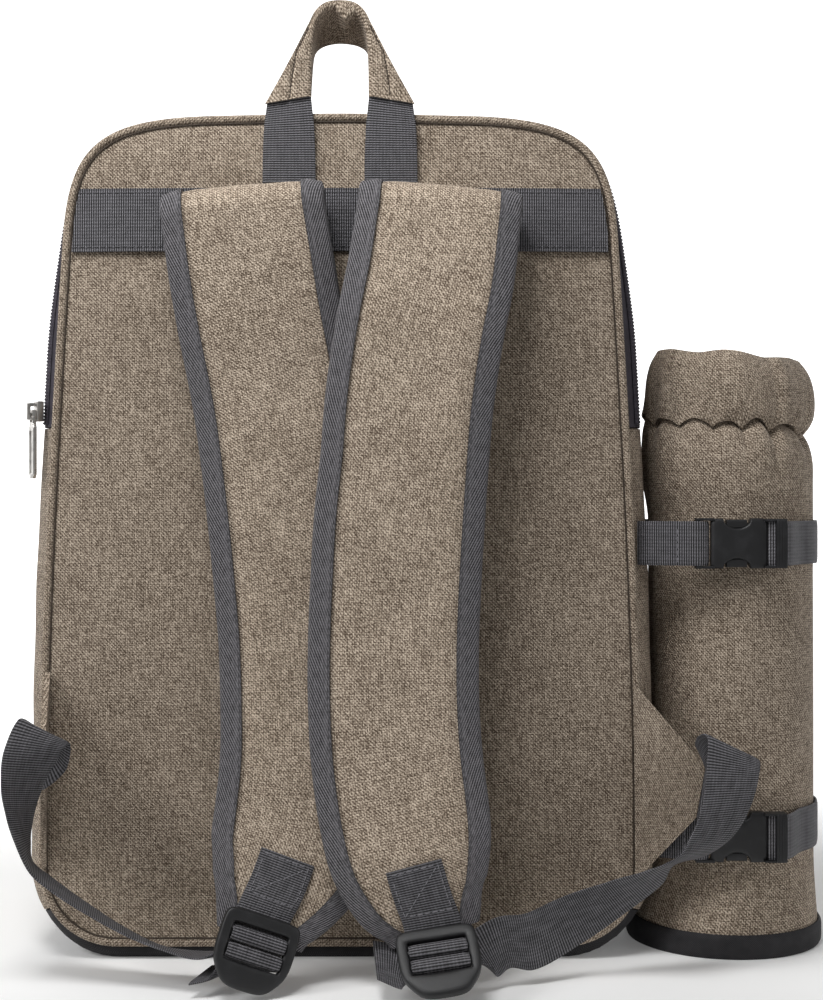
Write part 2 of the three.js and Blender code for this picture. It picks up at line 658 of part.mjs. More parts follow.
function strapBinding(sections, side) {
  const rings = sections.map((s) => {
    const half = s.width / 2 - BINDING_THICK - GAP;
    const lift = (inside, more) => s.thick * strapHalfThick(inside) + more;
    const hug = GAP;
    const skin = GAP + BINDING_THICK;
    const edge = lift(0, 0);
    const lap = BINDING_WIDTH - skin;
    const outerEdge = [half + skin, edge + hug];
    const innerEdge = [half + hug, edge + hug * 0.8];
    const outerHalf = [[half - lap, lift(lap, skin)], [half - 4, lift(4, skin)], outerEdge];
    const innerHalf = [[half - lap, lift(lap, hug)], [half - 4, lift(4, hug)], innerEdge];
    const under = (list) => [...list].reverse().map(([a, h]) => [a, -h]);
    const outer = [...outerHalf, ...under(outerHalf)];
    const inner = [...innerHalf, ...under(innerHalf)];
    const place = ([a, h]) => strapPoint(s, side * a, h);
    return [...outer.map(place), ...inner.map(place).reverse()];
  });
  return loft(rings);
}
for (const [name, rows] of [['left', STRAP_LEFT], ['right', STRAP_RIGHT]]) {
  const sections = strapSections(rows);
  add(`shoulder_strap_${name}`, 'cloth', strapPad(sections));
  add(`strap_binding_${name}_outer`, 'binding', strapBinding(sections, name === 'left' ? -1 : 1));
  add(`strap_binding_${name}_inner`, 'binding', strapBinding(sections, name === 'left' ? 1 : -1));
}

// Ladder locks, strap tabs and adjuster webbing.
function lockFrame(lock) {
  const down = vec(lock.down).normalize();
  const across = vec(lock.across);
  across.addScaledVector(down, -across.dot(down)).normalize();
  const out = new THREE.Vector3().crossVectors(down, across).normalize();
  return { origin: vec(lock.origin), down, across, out };
}
function lockPoint(frame, along, out) {
  const p = frame.origin.clone().addScaledVector(frame.down, along).addScaledVector(frame.out, out);
  return [p.x, p.y, p.z];
}
function lockBody(frame) {
  const w = LOCK_HALF_WIDTH;
  const n = LOCK_LENGTH;
  const half = [[w - 3, 0], [w - 0.9, 0.9], [w, 3], [w, n - 13], [w - 1.2, n - 9], [w - 4.4, n - 4.4]];
  half.push([w - 7.4, n - 1.2], [w - 10.6, n]);
  const outline = [...half, ...half.map(([a, b]) => [-a, b]).reverse()];
  let body = plate(outline, -LOCK_HALF_THICK, LOCK_HALF_THICK);
  const h = LOCK_WINDOW_HALF;
  const deep = LOCK_HALF_THICK + 1;
  body = body.subtract(block([-h, LOCK_WINDOW.from, -deep], [h, LOCK_WINDOW.to, deep]));
  for (const bar of [LOCK_BAR_A, LOCK_BAR_B]) {
    body = body.add(block([-h - 1, bar.from, -LOCK_BAR_HALF], [h + 1, bar.to, LOCK_BAR_HALF]));
  }
  const geometry = fromManifold(body);
  const sideways = frame.across.clone().negate();
  geometry.applyMatrix4(frameMatrix(frame.origin, sideways, frame.down, frame.out));
  return geometry;
}
const locks = [
  ['left', LOCK_LEFT, TAB_LEFT, ADJUSTER_LEFT, TAIL_LEFT],
  ['right', LOCK_RIGHT, TAB_RIGHT, ADJUSTER_RIGHT, TAIL_RIGHT],
];
for (const [name, lock, tab, adjuster, tail] of locks) {
  const frame = lockFrame(lock);
  const wide = [frame.across.x, frame.across.y, frame.across.z];
  const local = (list) => list.map(([along, out]) => ({ at: lockPoint(frame, along, out), wide }));
  add(`ladder_lock_${name}`, 'plastic', lockBody(frame));
  const hook = local(TAB_HOOK);
  add(`strap_tab_${name}`, 'webbing', ribbon([...tab, ...hook], WEB_WIDTH, 1.4, 2));
  const over = local(WEB_OVER_BAR);
  add(`adjuster_webbing_${name}`, 'webbing', ribbon([...adjuster, ...over, ...tail], WEB_WIDTH, 1.4, 2));
}

// Wings at the lower side seams.
function wing(shape) {
  const rings = [0, 0.5, 1].map((t) => {
    const upper = vec(shape.seam[0]).lerp(vec(shape.tip[0]), t);
    const lower = vec(shape.seam[1]).lerp(vec(shape.tip[1]), t);
    const along = vec(shape.tip[0]).sub(vec(shape.seam[0]));
    const up = vec(shape.seam[0]).sub(vec(shape.seam[1]));
    const out = new THREE.Vector3().crossVectors(along, up).normalize().multiplyScalar(WING_THICK / 2);
    const pair = [upper, lower];
    return [...pair.map((p) => p.clone().add(out)), ...pair.reverse().map((p) => p.clone().sub(out))];
  });
  return loft(rings);
}
add('wing_left', 'cloth', wing(WING_LEFT));
add('wing_right', 'cloth', wing(WING_RIGHT));

// Bottle pouch with gathered neck and frill, base and binding.
function pouchRing(row) {
  const ring = [];
  for (let i = 0; i < POUCH_SEGMENTS; i += 1) {
    const a = (2 * Math.PI * i) / POUCH_SEGMENTS;
    const r = row.r + row.fold * Math.cos(GATHERS * a);
    const ripple = row.fold > 0.9 ? 0.8 * row.fold * Math.cos(GATHERS * a + 2) : 0;
    const z = row.z + row.slant * Math.cos(a) + ripple;
    ring.push(new THREE.Vector3(POUCH_X + row.shift + r * Math.cos(a), POUCH_Y + r * Math.sin(a), z));
  }
  return ring;
}
add('bottle_pouch', 'cloth', loft([...POUCH_OUTER, ...POUCH_INNER].map(pouchRing), true));
function turned(profile, segments, x) {
  const body = new THREE.LatheGeometry(profile.map(([r, z]) => new THREE.Vector2(r, z)), segments);
  body.rotateX(Math.PI / 2);
  body.translate(x, POUCH_Y, 0);
  return fromManifold(toManifold(body));
}
const baseTop = POUCH_BASE_THICK;
const baseProfile = [[0, 0], [POUCH_BASE_RADIUS, 0], [POUCH_BASE_RADIUS, baseTop], [0, baseTop]];
add('pouch_base', 'base', turned(baseProfile, 32, POUCH_BASE_X));
const low = 0.2;
const [footRow, hemRow] = POUCH_OUTER;
const hug = BASE_BINDING_GAP;
const skin = BASE_BINDING_GAP + BASE_BINDING_THICK;
const hem = [
  { ...footRow, r: footRow.r + skin, z: low },
  { ...hemRow, r: hemRow.r + skin, z: BASE_BINDING_HEIGHT },
  { ...hemRow, r: hemRow.r + hug, z: BASE_BINDING_HEIGHT },
  { ...footRow, r: footRow.r + hug, z: low },
];
add('pouch_base_binding', 'base', loft(hem.map(pouchRing), true));

// Pouch straps with their buckles.
function buckleSocket() {
  const h = BUCKLE_HALF_HEIGHT;
  const t = BUCKLE_HALF_THICK;
  const outline = [[-22, -h + 2], [-20.5, -h + 0.6], [-13, -h], [10, -h], [11, -h + 1.5], [11, h - 1.5]];
  outline.push([10, h], [-13, h], [-20.5, h - 0.6], [-22, h - 2]);
  let body = plate(outline, -t, t);
  const slot = POUCH_WEB_WIDTH / 2 + 0.3;
  body = body.subtract(block([-18.2, -slot, -t - 1], [-15.2, slot, t + 1]));
  body = body.subtract(block([-19.5, -slot, 0.6], [-15.2, slot, t + 1]));
  body = body.subtract(block([-23, -slot, 0.6], [-19, slot, t + 1]));
  body = body.subtract(block([-9, -8.6, -1.9], [12, 8.6, 1.9]));
  for (const side of [-1, 1]) {
    const lo = Math.min(side * 7.6, side * (h + 1));
    const hi = Math.max(side * 7.6, side * (h + 1));
    body = body.subtract(block([-8, lo, -t - 1], [2.5, hi, t + 1]));
  }
  return body;
}
function bucklePlug() {
  const h = BUCKLE_HALF_HEIGHT;
  const t = BUCKLE_HALF_THICK;
  let body = block([11.4, -h + 0.3, -t + 0.6], [19, h - 0.3, t - 0.6]);
  const slot = POUCH_WEB_WIDTH / 2 + 0.2;
  body = body.subtract(block([11.3, -slot, -t], [14.4, slot, t]));
  body = body.subtract(block([14, -slot, 0.9], [20, slot, t]));
  for (const side of [-1, 1]) {
    const span = (a, b) => [Math.min(side * a, side * b), Math.max(side * a, side * b)];
    const arm = span(5.4, 8.2);
    body = body.add(block([-6.5, arm[0], -1.5], [11.9, arm[1], 1.5]));
    const rail = span(5.4, h - 0.4);
    body = body.add(block([11.4, rail[0], -1.5], [12, rail[1], 1.5]));
    const button = span(7.9, h - 0.5);
    body = body.add(block([-7, button[0], -t + 0.8], [1.9, button[1], t - 0.8]));
  }
  return body;
}
function placed(body, z) {
  const geometry = fromManifold(body);
  const across = new THREE.Vector3(1, 0, 0);
  const along = new THREE.Vector3(0, 0, 1);
  const out = new THREE.Vector3(0, -1, 0);
  geometry.applyMatrix4(frameMatrix(new THREE.Vector3(BUCKLE_X, BUCKLE_Y, z), across, along, out));
  return geometry;
}
function aroundPouch(degrees, z) {
  const a = (degrees * Math.PI) / 180;
  const x = POUCH_X + POUCH_WEB_RADIUS * Math.sin(a);
  return { at: [x, POUCH_Y - POUCH_WEB_RADIUS * Math.cos(a), z], wide: [0, 0, 1] };
}
for (const [name, z] of Object.entries(POUCH_STRAP_Z)) {
  const at = (x, y) => ({ at: [x, y, z], wide: [0, 0, 1] });
  const gusset = gussetPoint(seam(seamAtHeight(z)), 91, 0);
  const front = gussetPoint(seam(seamAtHeight(z)), 7, 0);
  const near = [at(front.x + 0.9, front.y - 0.8), at(158, -84.6), at(168, -88)];
  near.push(at(173.5, -89.2), at(177.7, -87.5), at(177.7, -84));
  add(`pouch_strap_${name}_bag`, 'webbing', ribbon(near, POUCH_WEB_WIDTH, WEB_THICK, 1));
  const far = [at(206.9, -84.2), at(207, -88), at(211.4, -89.4), at(216.4, -87.6), aroundPouch(42, z)];
  for (const degrees of [54, 67, 80, 93, 106, 119, 132, 145, 158, 171]) {
    far.push(aroundPouch(degrees, z));
  }
  far.push(at(gusset.x + 18, POUCH_Y + POUCH_WEB_RADIUS), at(gusset.x + 0.5, POUCH_Y + POUCH_WEB_RADIUS));
  add(`pouch_strap_${name}_round`, 'webbing', ribbon(far, POUCH_WEB_WIDTH, WEB_THICK, 1));
  add(`pouch_buckle_${name}_socket`, 'plastic', placed(buckleSocket(), z));
  add(`pouch_buckle_${name}_plug`, 'plastic', placed(bucklePlug(), z));
}

// Zip slider with its bail and the pull that hangs from it.
const zipPlace = seam(seamAtHeight(SLIDER_Z), -1);
const coilMiddle = (COIL_FROM + COIL_TO) / 2;
const zipOrigin = gussetPoint(zipPlace, coilMiddle, 0);
const zipAcross = gussetPoint(zipPlace, coilMiddle + 0.5, 0);
zipAcross.sub(gussetPoint(zipPlace, coilMiddle - 0.5, 0)).normalize();
const zipUp = new THREE.Vector3(0, 0, 1);
const zipOut = new THREE.Vector3().crossVectors(zipAcross, zipUp).normalize();
if (zipOut.x > 0) {
  zipOut.negate();
}
const zipSide = new THREE.Vector3().crossVectors(zipUp, zipOut);
const zipMatrix = frameMatrix(zipOrigin, zipSide, zipUp, zipOut);
let slider = block([-3.8, -5, 2.7], [3.8, 5, 5.9]);
slider = slider.add(block([-1.3, -4.2, 5.5], [1.3, 4.2, 10.2]));
slider = slider.subtract(block([-2, -2.5, 5.9], [2, 2.5, 8.6]));
const sliderGeometry = fromManifold(slider);
sliderGeometry.applyMatrix4(zipMatrix);
add('zip_slider', 'nickel', sliderGeometry);
const half = PULL_WIDTH / 2;
const tip = -PULL_LENGTH;
const pullOutline = [[-3.4, 0.75], [3.4, 0.75], [3.4, -6], [half, -8], [half, tip + 2], [half - 2, tip]];
pullOutline.push([-half + 2, tip], [-half, tip + 2], [-half, -8], [-3.4, -6]);
let pull = plate(pullOutline, BAIL_AXIS - PULL_THICK / 2, BAIL_AXIS + PULL_THICK / 2);
pull = pull.subtract(block([-1.8, -5.3, 5], [1.8, -0.75, 10]));
pull = pull.subtract(block([-half + 1.5, tip + 2.5, BAIL_AXIS + 0.4], [half - 1.5, -9.5, 10]));
const pullGeometry = fromManifold(pull);
pullGeometry.applyMatrix4(zipMatrix);
add('zip_pull', 'nickel', pullGeometry);

export default group;
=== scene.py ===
"""Picnic backpack: cloth, webbing, binding, buckles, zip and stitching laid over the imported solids."""

import math

import bmesh
import bpy
import numpy as np
from bpy.props import FloatProperty, FloatVectorProperty, PointerProperty
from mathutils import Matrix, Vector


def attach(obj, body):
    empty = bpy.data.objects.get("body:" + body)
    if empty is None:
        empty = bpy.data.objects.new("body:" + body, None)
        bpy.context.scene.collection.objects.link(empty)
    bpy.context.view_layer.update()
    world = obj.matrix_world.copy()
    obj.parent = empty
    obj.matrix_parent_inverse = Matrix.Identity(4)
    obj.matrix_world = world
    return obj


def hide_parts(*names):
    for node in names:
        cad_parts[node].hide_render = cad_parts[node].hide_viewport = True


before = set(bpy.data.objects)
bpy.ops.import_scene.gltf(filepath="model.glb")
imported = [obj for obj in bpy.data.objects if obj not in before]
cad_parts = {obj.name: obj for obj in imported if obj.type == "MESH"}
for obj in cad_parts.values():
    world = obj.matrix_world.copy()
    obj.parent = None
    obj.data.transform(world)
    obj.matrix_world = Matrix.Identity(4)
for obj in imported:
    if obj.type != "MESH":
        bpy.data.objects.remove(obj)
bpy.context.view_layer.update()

bl_info = {
    "name": "Picnic Backpack",
    "version": (1, 0, 0),
    "blender": (4, 5, 0),
    "location": "View3D > Sidebar > Backpack",
    "description": "Builds the soft goods, hardware and stage of a picnic backpack",
    "category": "Object",
}

MM = 0.001

# Seam outline of the back and front panels, right half, in mm: start, two handles, end.
OUTLINE = np.array([
    [[0, 10.4], [36, 10.4], [72, 10.4], [108, 10.4]],
    [[108, 10.4], [128, 10.4], [142.5, 26], [142.5, 46]],
    [[142.5, 46], [142.5, 150], [137.5, 240], [131, 345]],
    [[131, 345], [128.4, 392], [118, 404.4], [58, 405.4]],
    [[58, 405.4], [38, 405.8], [19, 406.5], [0, 406.5]],
])
BACK_Y, FRONT_Y, DEPTH = -85.0, 85.0, 170.0
WALL, SEAM_GAP, GAP = 2.4, 2.6, 0.3
SIDE_BULGE, SHOULDER_BULGE, TOP_BULGE, BASE_DROP = 13.0, 6.5, 7.0, 10.4
SIDE_RISE, TOP_RISE, BASE_RISE = 26.0, 24.0, 5.0
SIDE_SWAY, TOP_SWAY, GUSSET_SWAY_SPAN, GUSSET_CALM = 0.7, 0.5, 90.0, 25.0
SHOULDER_FROM, SHOULDER_TO = 295.0, 385.0
BASE_EDGE_Z, ZIP_END_Z = 26.0, 258.0
# Gaps at the base and at the zip ends, as shares of an outline row.
BASE_JOIN, ZIP_JOIN = 0.012, 0.0012
# Piping: cord radius, offset from the seam line, and radius of the dark tube beside it, which is painted
# shadow.
PIPING_RADIUS, PIPING_OFFSET, PIPING_SHADOW_RADIUS = 2.1, 2.0, 0.42
BACK_PUFF, FRONT_PUFF, PANEL_MID_Z, PANEL_HALF_Z = 4.4, 6.0, 208.0, 198.0
PANEL_INSET, PANEL_SKIN, BACK_LINING = 0.5, 0.8, 1.4
PANEL_LOW_Z, PANEL_TOP_Z, PANEL_CALM = 11.0, 406.0, 30.0
BACK_SWAY, FRONT_SWAY, PANEL_SWAY_SPAN = 0.9, 1.0, 150.0
ZIP_TAPE_END, ZIP_TAPE_FACE, ZIP_TAPE_BACK = 25.4, -0.2, -1.6
COIL_FROM, COIL_TO, COIL_HEIGHT, TOOTH_PITCH = 11.8, 16.2, 1.9, 1.7
BAND_LOW, BAND_HIGH, BAND_LIFT, BAND_INSET = 343.0, 373.5, 0.4, 1.2
WEB_WIDTH, WEB_THICK, LOCK_WEB_THICK = 26.0, 1.5, 1.4
HANDLE_HALF_SPAN, HANDLE_Y, HANDLE_WEB_WIDTHS = 24.6, -89.4, (25.6, 25.4, 24.4, 21.4)
# Legs of the handle: height and slant of the width.
HANDLE_WEB_ROWS = ((374.2, 0), (388, 0), (402, 0.04), (416.2, 0.16))
SLEEVE_THICK, SLEEVE_ROUND, SLEEVE_LIFT, SLEEVE_STATIONS = 2.6, 0.9, 0.6, 201
SLEEVE_DIP, SLEEVE_DIP_X, SLEEVE_DIP_HALF, SLEEVE_DIP_Z = 6.5, 2.9, 4.8, 452.0
# Seam of the sleeve: distance from the crease at the foot, how far it nears it and over what length,
# least distance from the edge; then rows that are stitched at each end.
SLEEVE_SEAM, SLEEVE_SEAM_RISE, SLEEVE_SEAM_RUN, SLEEVE_SEAM_EDGE = 9.6, 5.6, 38.0, 1.1
SLEEVE_STITCHED = 60
SLEEVE_GROOVE, SLEEVE_GROOVE_WIDTH, SLEEVE_GROOVE_END = 0.9, 0.8, 34.0
STRAP_HALF_THICK, STRAP_EDGE_HALF, STRAP_ROLL = 5.5, 2.4, 18.0
STRAP_SWAY, STRAP_SWAY_SPAN, STRAP_CALM_FROM, STRAP_CALM = 0.5, 85.0, 9.0, 12.0
FOLD_RADIUS, FOLD_LEAN, ROOT_LENGTH, ROOT_WIDTH, ROOT_Y = 7.6, 0.62, 14.0, 72.0, -95.0
BINDING_WIDTH, BINDING_THICK = 10.4, 1.2

# Shoulder straps: middle line x, y, z and full width over the binding.
STRAP_LEFT = np.array([
    [-44.7, -111, 360, 77], [-40.9, -110, 333.4, 78], [-37.1, -108, 309.7, 78],
    [-29.7, -106, 270.2, 78], [-24.1, -106, 227.7, 78], [-19.3, -106, 185.2, 79],
    [-16.9, -107, 157, 79], [-15.8, -109, 128.9, 79], [-15.6, -112, 101.2, 79],
    [-18.1, -115, 74.1, 79], [-22.4, -119, 56.3, 75], [-28, -124.5, 41, 62],
    [-33, -130, 28.5, 46], [-34.9, -131.6, 22.5, 40],
])
STRAP_RIGHT = np.array([
    [47.7, -111.5, 360, 77], [43.4, -116, 327.9, 78], [38.7, -119, 303.8, 78],
    [33.6, -120, 269.4, 78], [31.3, -120, 241.5, 78], [28.9, -120, 213.7, 79],
    [27.3, -120, 185.9, 79], [26.2, -120.5, 158.1, 79], [26.2, -122, 130.5, 79],
    [27.8, -124, 103.2, 79], [31.5, -128, 76.2, 78], [34.5, -131.5, 58.8, 74],
    [39, -133, 42.5, 63], [43.5, -133.5, 31, 48], [45.3, -133.8, 25.4, 42],
])

# Ladder locks: middle of the top edge, length direction, width direction.
LOCKS = {
    "left": np.array([[-31.2, -141, 35.6], [-0.287, -0.3125, -0.906], [0.889, 0.26, -0.371]]),
    "right": np.array([[44.5, -143.5, 30.5], [0.16, -0.72, -0.675], [0.97, 0.1, 0.12]]),
}
LOCK_LENGTH, LOCK_HALF_WIDTH, LOCK_HALF_THICK, LOCK_WINDOW_HALF = 34.0, 18.4, 2.25, 13.2
LOCK_WINDOW, LOCK_BARS, LOCK_BAR_HALF = (6.0, 22.6), ((9.5, 12.5), (17.0, 20.0)), 1.6
# Webbing round the two bars of a lock: along the lock, out of it.
TAB_HOOK = np.array([
    [1, -4.2], [6, -3.5], [7.8, -0.5], [8.8, 2.1], [11, 2.7],
    [13.2, 2.1], [13.7, 0], [13, -2.4], [11, -2.7],
])
WEB_OVER_BAR = np.array([
    [14.2, -7.2], [14.6, -5], [14.9, -3], [15.45, 0], [16.3, 2.25],
    [18.5, 2.7], [20.6, 2.2], [21.2, 0], [21.6, -3],
])
# Stitched box on a tab: half width, top and bottom from the tab's end, stand of the thread.
TAB_BOX_HALF, TAB_BOX_TOP, TAB_BOX_LOW, TAB_THREAD_LIFT = 10.8, 1.8, {"left": 21.0, "right": 22.0}, 0.08
# Webbing runs: middle x, y, z and width direction x, y, z.
TABS = {
    "left": np.array([[-22.4, -124.6, 58.6, 0.93, 0.02, -0.35], [-26.8, -129.3, 46.5, 0.92, 0.05, -0.36]]),
    "right": np.array([
        [35.4, -138.6, 57.5, 0.96, 0.02, 0.25], [40, -139.4, 42.5, 0.97, 0.05, 0.2],
        [43.4, -139.8, 33.5, 0.97, 0.05, 0.16],
    ]),
}
ADJUSTERS = {
    "left": np.array([
        [-137, -117.8, 101.2, 0, 0, -1], [-136, -121.4, 102.6, 0.1, 0, -0.99],
        [-132.4, -125.2, 109.4, 0.6, 0.06, -0.79], [-133.2, -131.4, 117.1, 0.84, 0.28, -0.46],
        [-137, -137, 109.6, 0.84, 0.5, -0.17], [-142, -136.5, 93.3, 0.52, 0.84, -0.17],
        [-144.7, -129, 76.9, 0.22, 0.96, -0.16], [-144, -124.5, 63.6, -0.02, 1, -0.08],
        [-141.2, -122, 53.1, -0.2, 0.98, 0], [-130.8, -122, 44.4, -0.27, 0.96, 0.06],
        [-114.3, -122.5, 33.4, -0.23, 0.97, -0.03], [-96.9, -124, 23.6, -0.17, 0.97, -0.14],
        [-79.2, -127, 17, -0.13, 0.97, -0.22], [-61, -131, 15, 0.15, 0.97, -0.15],
        [-48, -133.5, 17, 0.5, 0.82, -0.2],
    ]),
    "right": np.array([
        [174.2, -91.8, 82.4, -0.17, 0, -0.98], [176.7, -94, 86.1, 0.04, -0.11, -0.94],
        [177.2, -96.9, 94.8, 0.51, -0.06, -0.82], [181.6, -101.5, 103.1, 0.81, -0.03, -0.62],
        [186, -106.5, 105.9, 0.91, 0, -0.42], [184.8, -113, 93.8, 0.98, 0.2, -0.07],
        [181, -117, 79.6, 0.94, 0.33, 0.01], [174.6, -118.5, 67.2, 0.87, 0.49, -0.05],
        [166, -119, 58.4, 0.62, 0.77, -0.15], [154.8, -119, 54, 0.29, 0.93, -0.21],
        [147.2, -118.5, 47.6, 0.41, 0.81, -0.41], [133.3, -118, 40.2, 0.48, 0.64, -0.6],
        [108.8, -121, 28.5, 0.42, 0.28, -0.86], [88.9, -127, 20.2, 0.18, 0, -0.98],
        [76.4, -133, 21.3, 0.25, 0.22, -0.94], [67, -136.6, 17, 0.52, 0.2, -0.83],
        [57, -141.2, 16.4, 0.94, 0.1, -0.26],
    ]),
}
TAILS = {
    "left": np.array([
        [-42.5, -138, 10.5, 0.8, 0.55, -0.2], [-51, -136, 8.5, 0.45, 0.88, 0],
        [-61, -136, 7.5, 0.3, 0.95, 0.05],
    ]),
    "right": np.array([
        [42, -147, 11, 0.78, 0.62, 0.05], [32, -142.5, 12.6, 0.2, 0.86, 0.45],
        [18, -139.5, 15.4, -0.1, 0.9, 0.4],
    ]),
}
# Wings: upper and lower corner at the seam, upper and lower corner at the webbing.
WING_THICK, WING_SWELL = 2.4, 1.1
WINGS = {
    "left": np.array([
        [-141.6, -87.2, 139.6], [-143.4, -87.2, 45], [-137, -117.4, 113.6], [-137, -117.4, 88.8],
    ]),
    "right": np.array([
        [142.2, -88.4, 134.4], [142.6, -88.4, 39], [175.8, -91.6, 94.7], [171.4, -91.6, 70.3],
    ]),
}
# Left half of the handle's sleeve: crease x and z, outer edge x and z, length behind the crease, fall.
SLEEVE = np.array([
    [-14.9, 417.6, -36, 414, 2.5, 0], [-14.8, 426, -29, 426.5, 9, 0],
    [-14.6, 435, -23.4, 436.8, 14, 0.05], [-14.2, 442.6, -18.9, 445.4, 17.5, 0.15],
    [-13.2, 449.6, -15.2, 452.6, 20, 0.3], [-10.9, 455.8, -11.8, 459, 21.5, 0.45],
    [-6.6, 460.2, -7.2, 462.8, 22.5, 0.55], [0, 461.8, 0, 464, 23, 0.57],
])
# Bottle pouch, outside then inside: radius, height, fold depth, scallop height, lump depth,
# slant to the left, shift in x.
POUCH_X, POUCH_Y, GATHERS, GATHER_TURN = 198.0, -38.0, 7, 0.078
POUCH_OUTER = np.array([
    [47.4, 2.8, 0, 0, 0, 0, -3.6], [46.4, 12, 0, 0, 0, 0, -2.6], [43.6, 26, 0, 0, 0.1, 0, -0.8],
    [42, 39, 0, 0, 0.2, 0, 0], [41.6, 110, 0, 0, 0.4, -0.6, 0], [41.4, 180, 0, 0, 0.4, -1, 0],
    [41.5, 214, 0.1, 0, 0.4, -1.4, -0.1], [42.8, 232, 0.2, 0, 0.4, -1.6, -1.5],
    [42.8, 245, 0.5, 0.8, 0.3, -2.4, -1.7], [41, 254, 1, 2.4, 0.2, -3, -2.2],
    [38.4, 258.6, 1.5, 3.8, 0, -3, -3], [36.6, 260.6, 1.7, 4.6, 0, -3, -4.4],
    [36, 262, 1.6, 5, 0, -3, -4.8], [37.4, 261.6, 1.6, 5.6, 0, -3, -4.4],
    [39.8, 260, 1.4, 6, 0.2, -3, -3.4], [41, 262.4, 1.2, 5, 0.5, -3, -2.2],
    [41.8, 267, 0.9, 2.6, 0.9, -3, -1.2], [42, 274, 0.5, 0.8, 1.2, -3, -0.8],
    [41.2, 283, 0.4, 0, 1.4, -3, -0.9], [39, 290.4, 0.4, 0, 1.5, -3, -1.2],
    [35.6, 295.6, 0.5, 0, 1.5, -3, -1.6],
])
POUCH_INNER = np.array([
    [32.4, 296, 0.5, 0, 1.4, -3, -1.6], [30.4, 292, 0.4, 0, 1, -3, -1.6],
    [31.2, 281, 0.3, 0, 0.6, -3, -1.6], [31, 270, 0.5, 0.8, 0.3, -3, -2.4],
    [32, 262, 0.8, 2, 0, -3, -3.4], [35, 252, 0.4, 0.8, 0.2, -2.6, -1.6],
    [38.2, 236, 0, 0, 0.3, -2, 0], [38.3, 180, 0, 0, 0.3, -1, 0],
    [38.3, 39, 0, 0, 0.1, 0, 0], [43.4, 2.8, 0, 0, 0, 0, -3.6],
])
POUCH_FLAT_RADIUS, FOOT_FLAT_RADIUS = 42.0, 48.0
POUCH_BASE_RADIUS, POUCH_BASE_THICK, POUCH_BASE_X = 46.0, 2.5, 194.6
BASE_BINDING_HEIGHT, BASE_BINDING_GAP, BASE_BINDING_THICK = 11.6, 0.5, 1.6
POUCH_STRAP_Z = {"upper": 202.0, "lower": 60.0}
POUCH_WEB_WIDTH, POUCH_WEB_RADIUS = 21.5, 43.4
# Pouch straps in x and y: into the socket, out of the plug; then degrees round the pouch.
SOCKET_WEB = np.array([[158, -84.6], [168, -88], [173.5, -89.2], [177.7, -87.5], [177.7, -84]])
PLUG_WEB = np.array([[206.9, -84.2], [207, -88], [211.4, -89.4], [216.4, -87.6]])
POUCH_TURNS = np.append(42, np.arange(54, 172, 13))
POUCH_STRAP_START, POUCH_STRAP_END = 7.0, 91.0
BUCKLE_X, BUCKLE_Y, BUCKLE_HALF_HEIGHT, BUCKLE_HALF_THICK = 194.0, -86.6, 12.2, 3.4
SOCKET_FROM, SOCKET_TO, SCOOP_X, SCOOP_HALF, SCOOP_DEPTH = -14.6, 12.6, -2.2, 6.6, 4.8
# Finishes that go by the cloth's slot: the straps' cloth is the cloth lightened by a share, painted light
# for the straps; other finishes without a slot of their own go by the webbing's.
STRAP_PAINTED_LIGHT_SHARE, SOFT_RIBS = 1.22, 0.62


def making_size(name, description, default, low, high):
    """Length in metres that a user may change."""
    return FloatProperty(name=name, description=description, default=default,
                         min=low, max=high, unit="LENGTH")


def finish_colour(name, description, default):
    """Colour that a user may change."""
    return FloatVectorProperty(name=name, description=description, default=default, size=3, subtype="COLOR")


def lamp_power(name, description, default):
    """Power in watts that a user may change."""
    return FloatProperty(name=name, description=description, default=default, min=0, unit="POWER")


class BackpackSizes(bpy.types.PropertyGroup):
    """Sizes of the cloth, webbing and thread."""

    yarn: making_size("Yarn", "Spacing of the cloth's yarns", 0.0009, 0.0002, 0.003)
    rib: making_size("Rib", "Spacing of the ribs along the webbing", 0.00112, 0.0004, 0.005)
    column: making_size("Column", "Spacing of the columns across the webbing", 0.00166, 0.0004, 0.005)
    chevron: making_size("Chevron", "Spacing of the twill lines of the binding", 0.00125, 0.0005, 0.005)
    stitch: making_size("Stitch", "Length of one stitch", 0.0026, 0.001, 0.008)
    thread: making_size("Thread", "Thickness of the sewing thread", 0.00055, 0.0002, 0.002)


class BackpackColours(bpy.types.PropertyGroup):
    """Colours of the finishes."""

    cloth_dark: finish_colour("Cloth dark yarn", "Darkest yarn of the cloth", (0.072, 0.050, 0.034))
    cloth_mid: finish_colour("Cloth", "Middle tone of the cloth", (0.235, 0.186, 0.141))
    cloth_light: finish_colour("Cloth light yarn", "Lightest yarn of the cloth", (0.56, 0.47, 0.375))
    webbing: finish_colour("Webbing", "Webbing ribs", (0.070, 0.068, 0.074))
    binding: finish_colour("Binding", "Edge binding of the straps", (0.090, 0.086, 0.092))
    zip_tape: finish_colour("Zip tape", "Zip tape and coil", (0.050, 0.044, 0.056))
    base: finish_colour("Base cloth", "Dark cloth of the base and the pouch foot", (0.026, 0.025, 0.027))
    plastic: finish_colour("Plastic", "Buckles and ladder locks", (0.0095, 0.0095, 0.0105))
    nickel: finish_colour("Nickel", "Zip slider and pull", (0.66, 0.64, 0.61))


class BackpackStage(bpy.types.PropertyGroup):
    """Camera and light."""

    distance: making_size("Distance", "From the camera to the middle of the bag", 0.865, 0.1, 5)
    height: making_size("Height", "Camera above the floor", 0.223, 0.01, 3)
    sideways: making_size("Sideways", "Camera to the right of the middle of the bag", 0.0345, -2, 2)
    lens: FloatProperty(name="Lens", description="Focal length in mm on a 36 mm sensor",
                        default=57.85, min=10, max=300)
    key: lamp_power("Key", "Power of the light from the upper left", 11)
    fill: lamp_power("Fill", "Power of the light from the right", 5)
    top: lamp_power("Top", "Power of the light from above", 5)
    ambient: FloatProperty(name="Ambient", description="Strength of the light all round",
                           default=0.2, min=0, max=5)


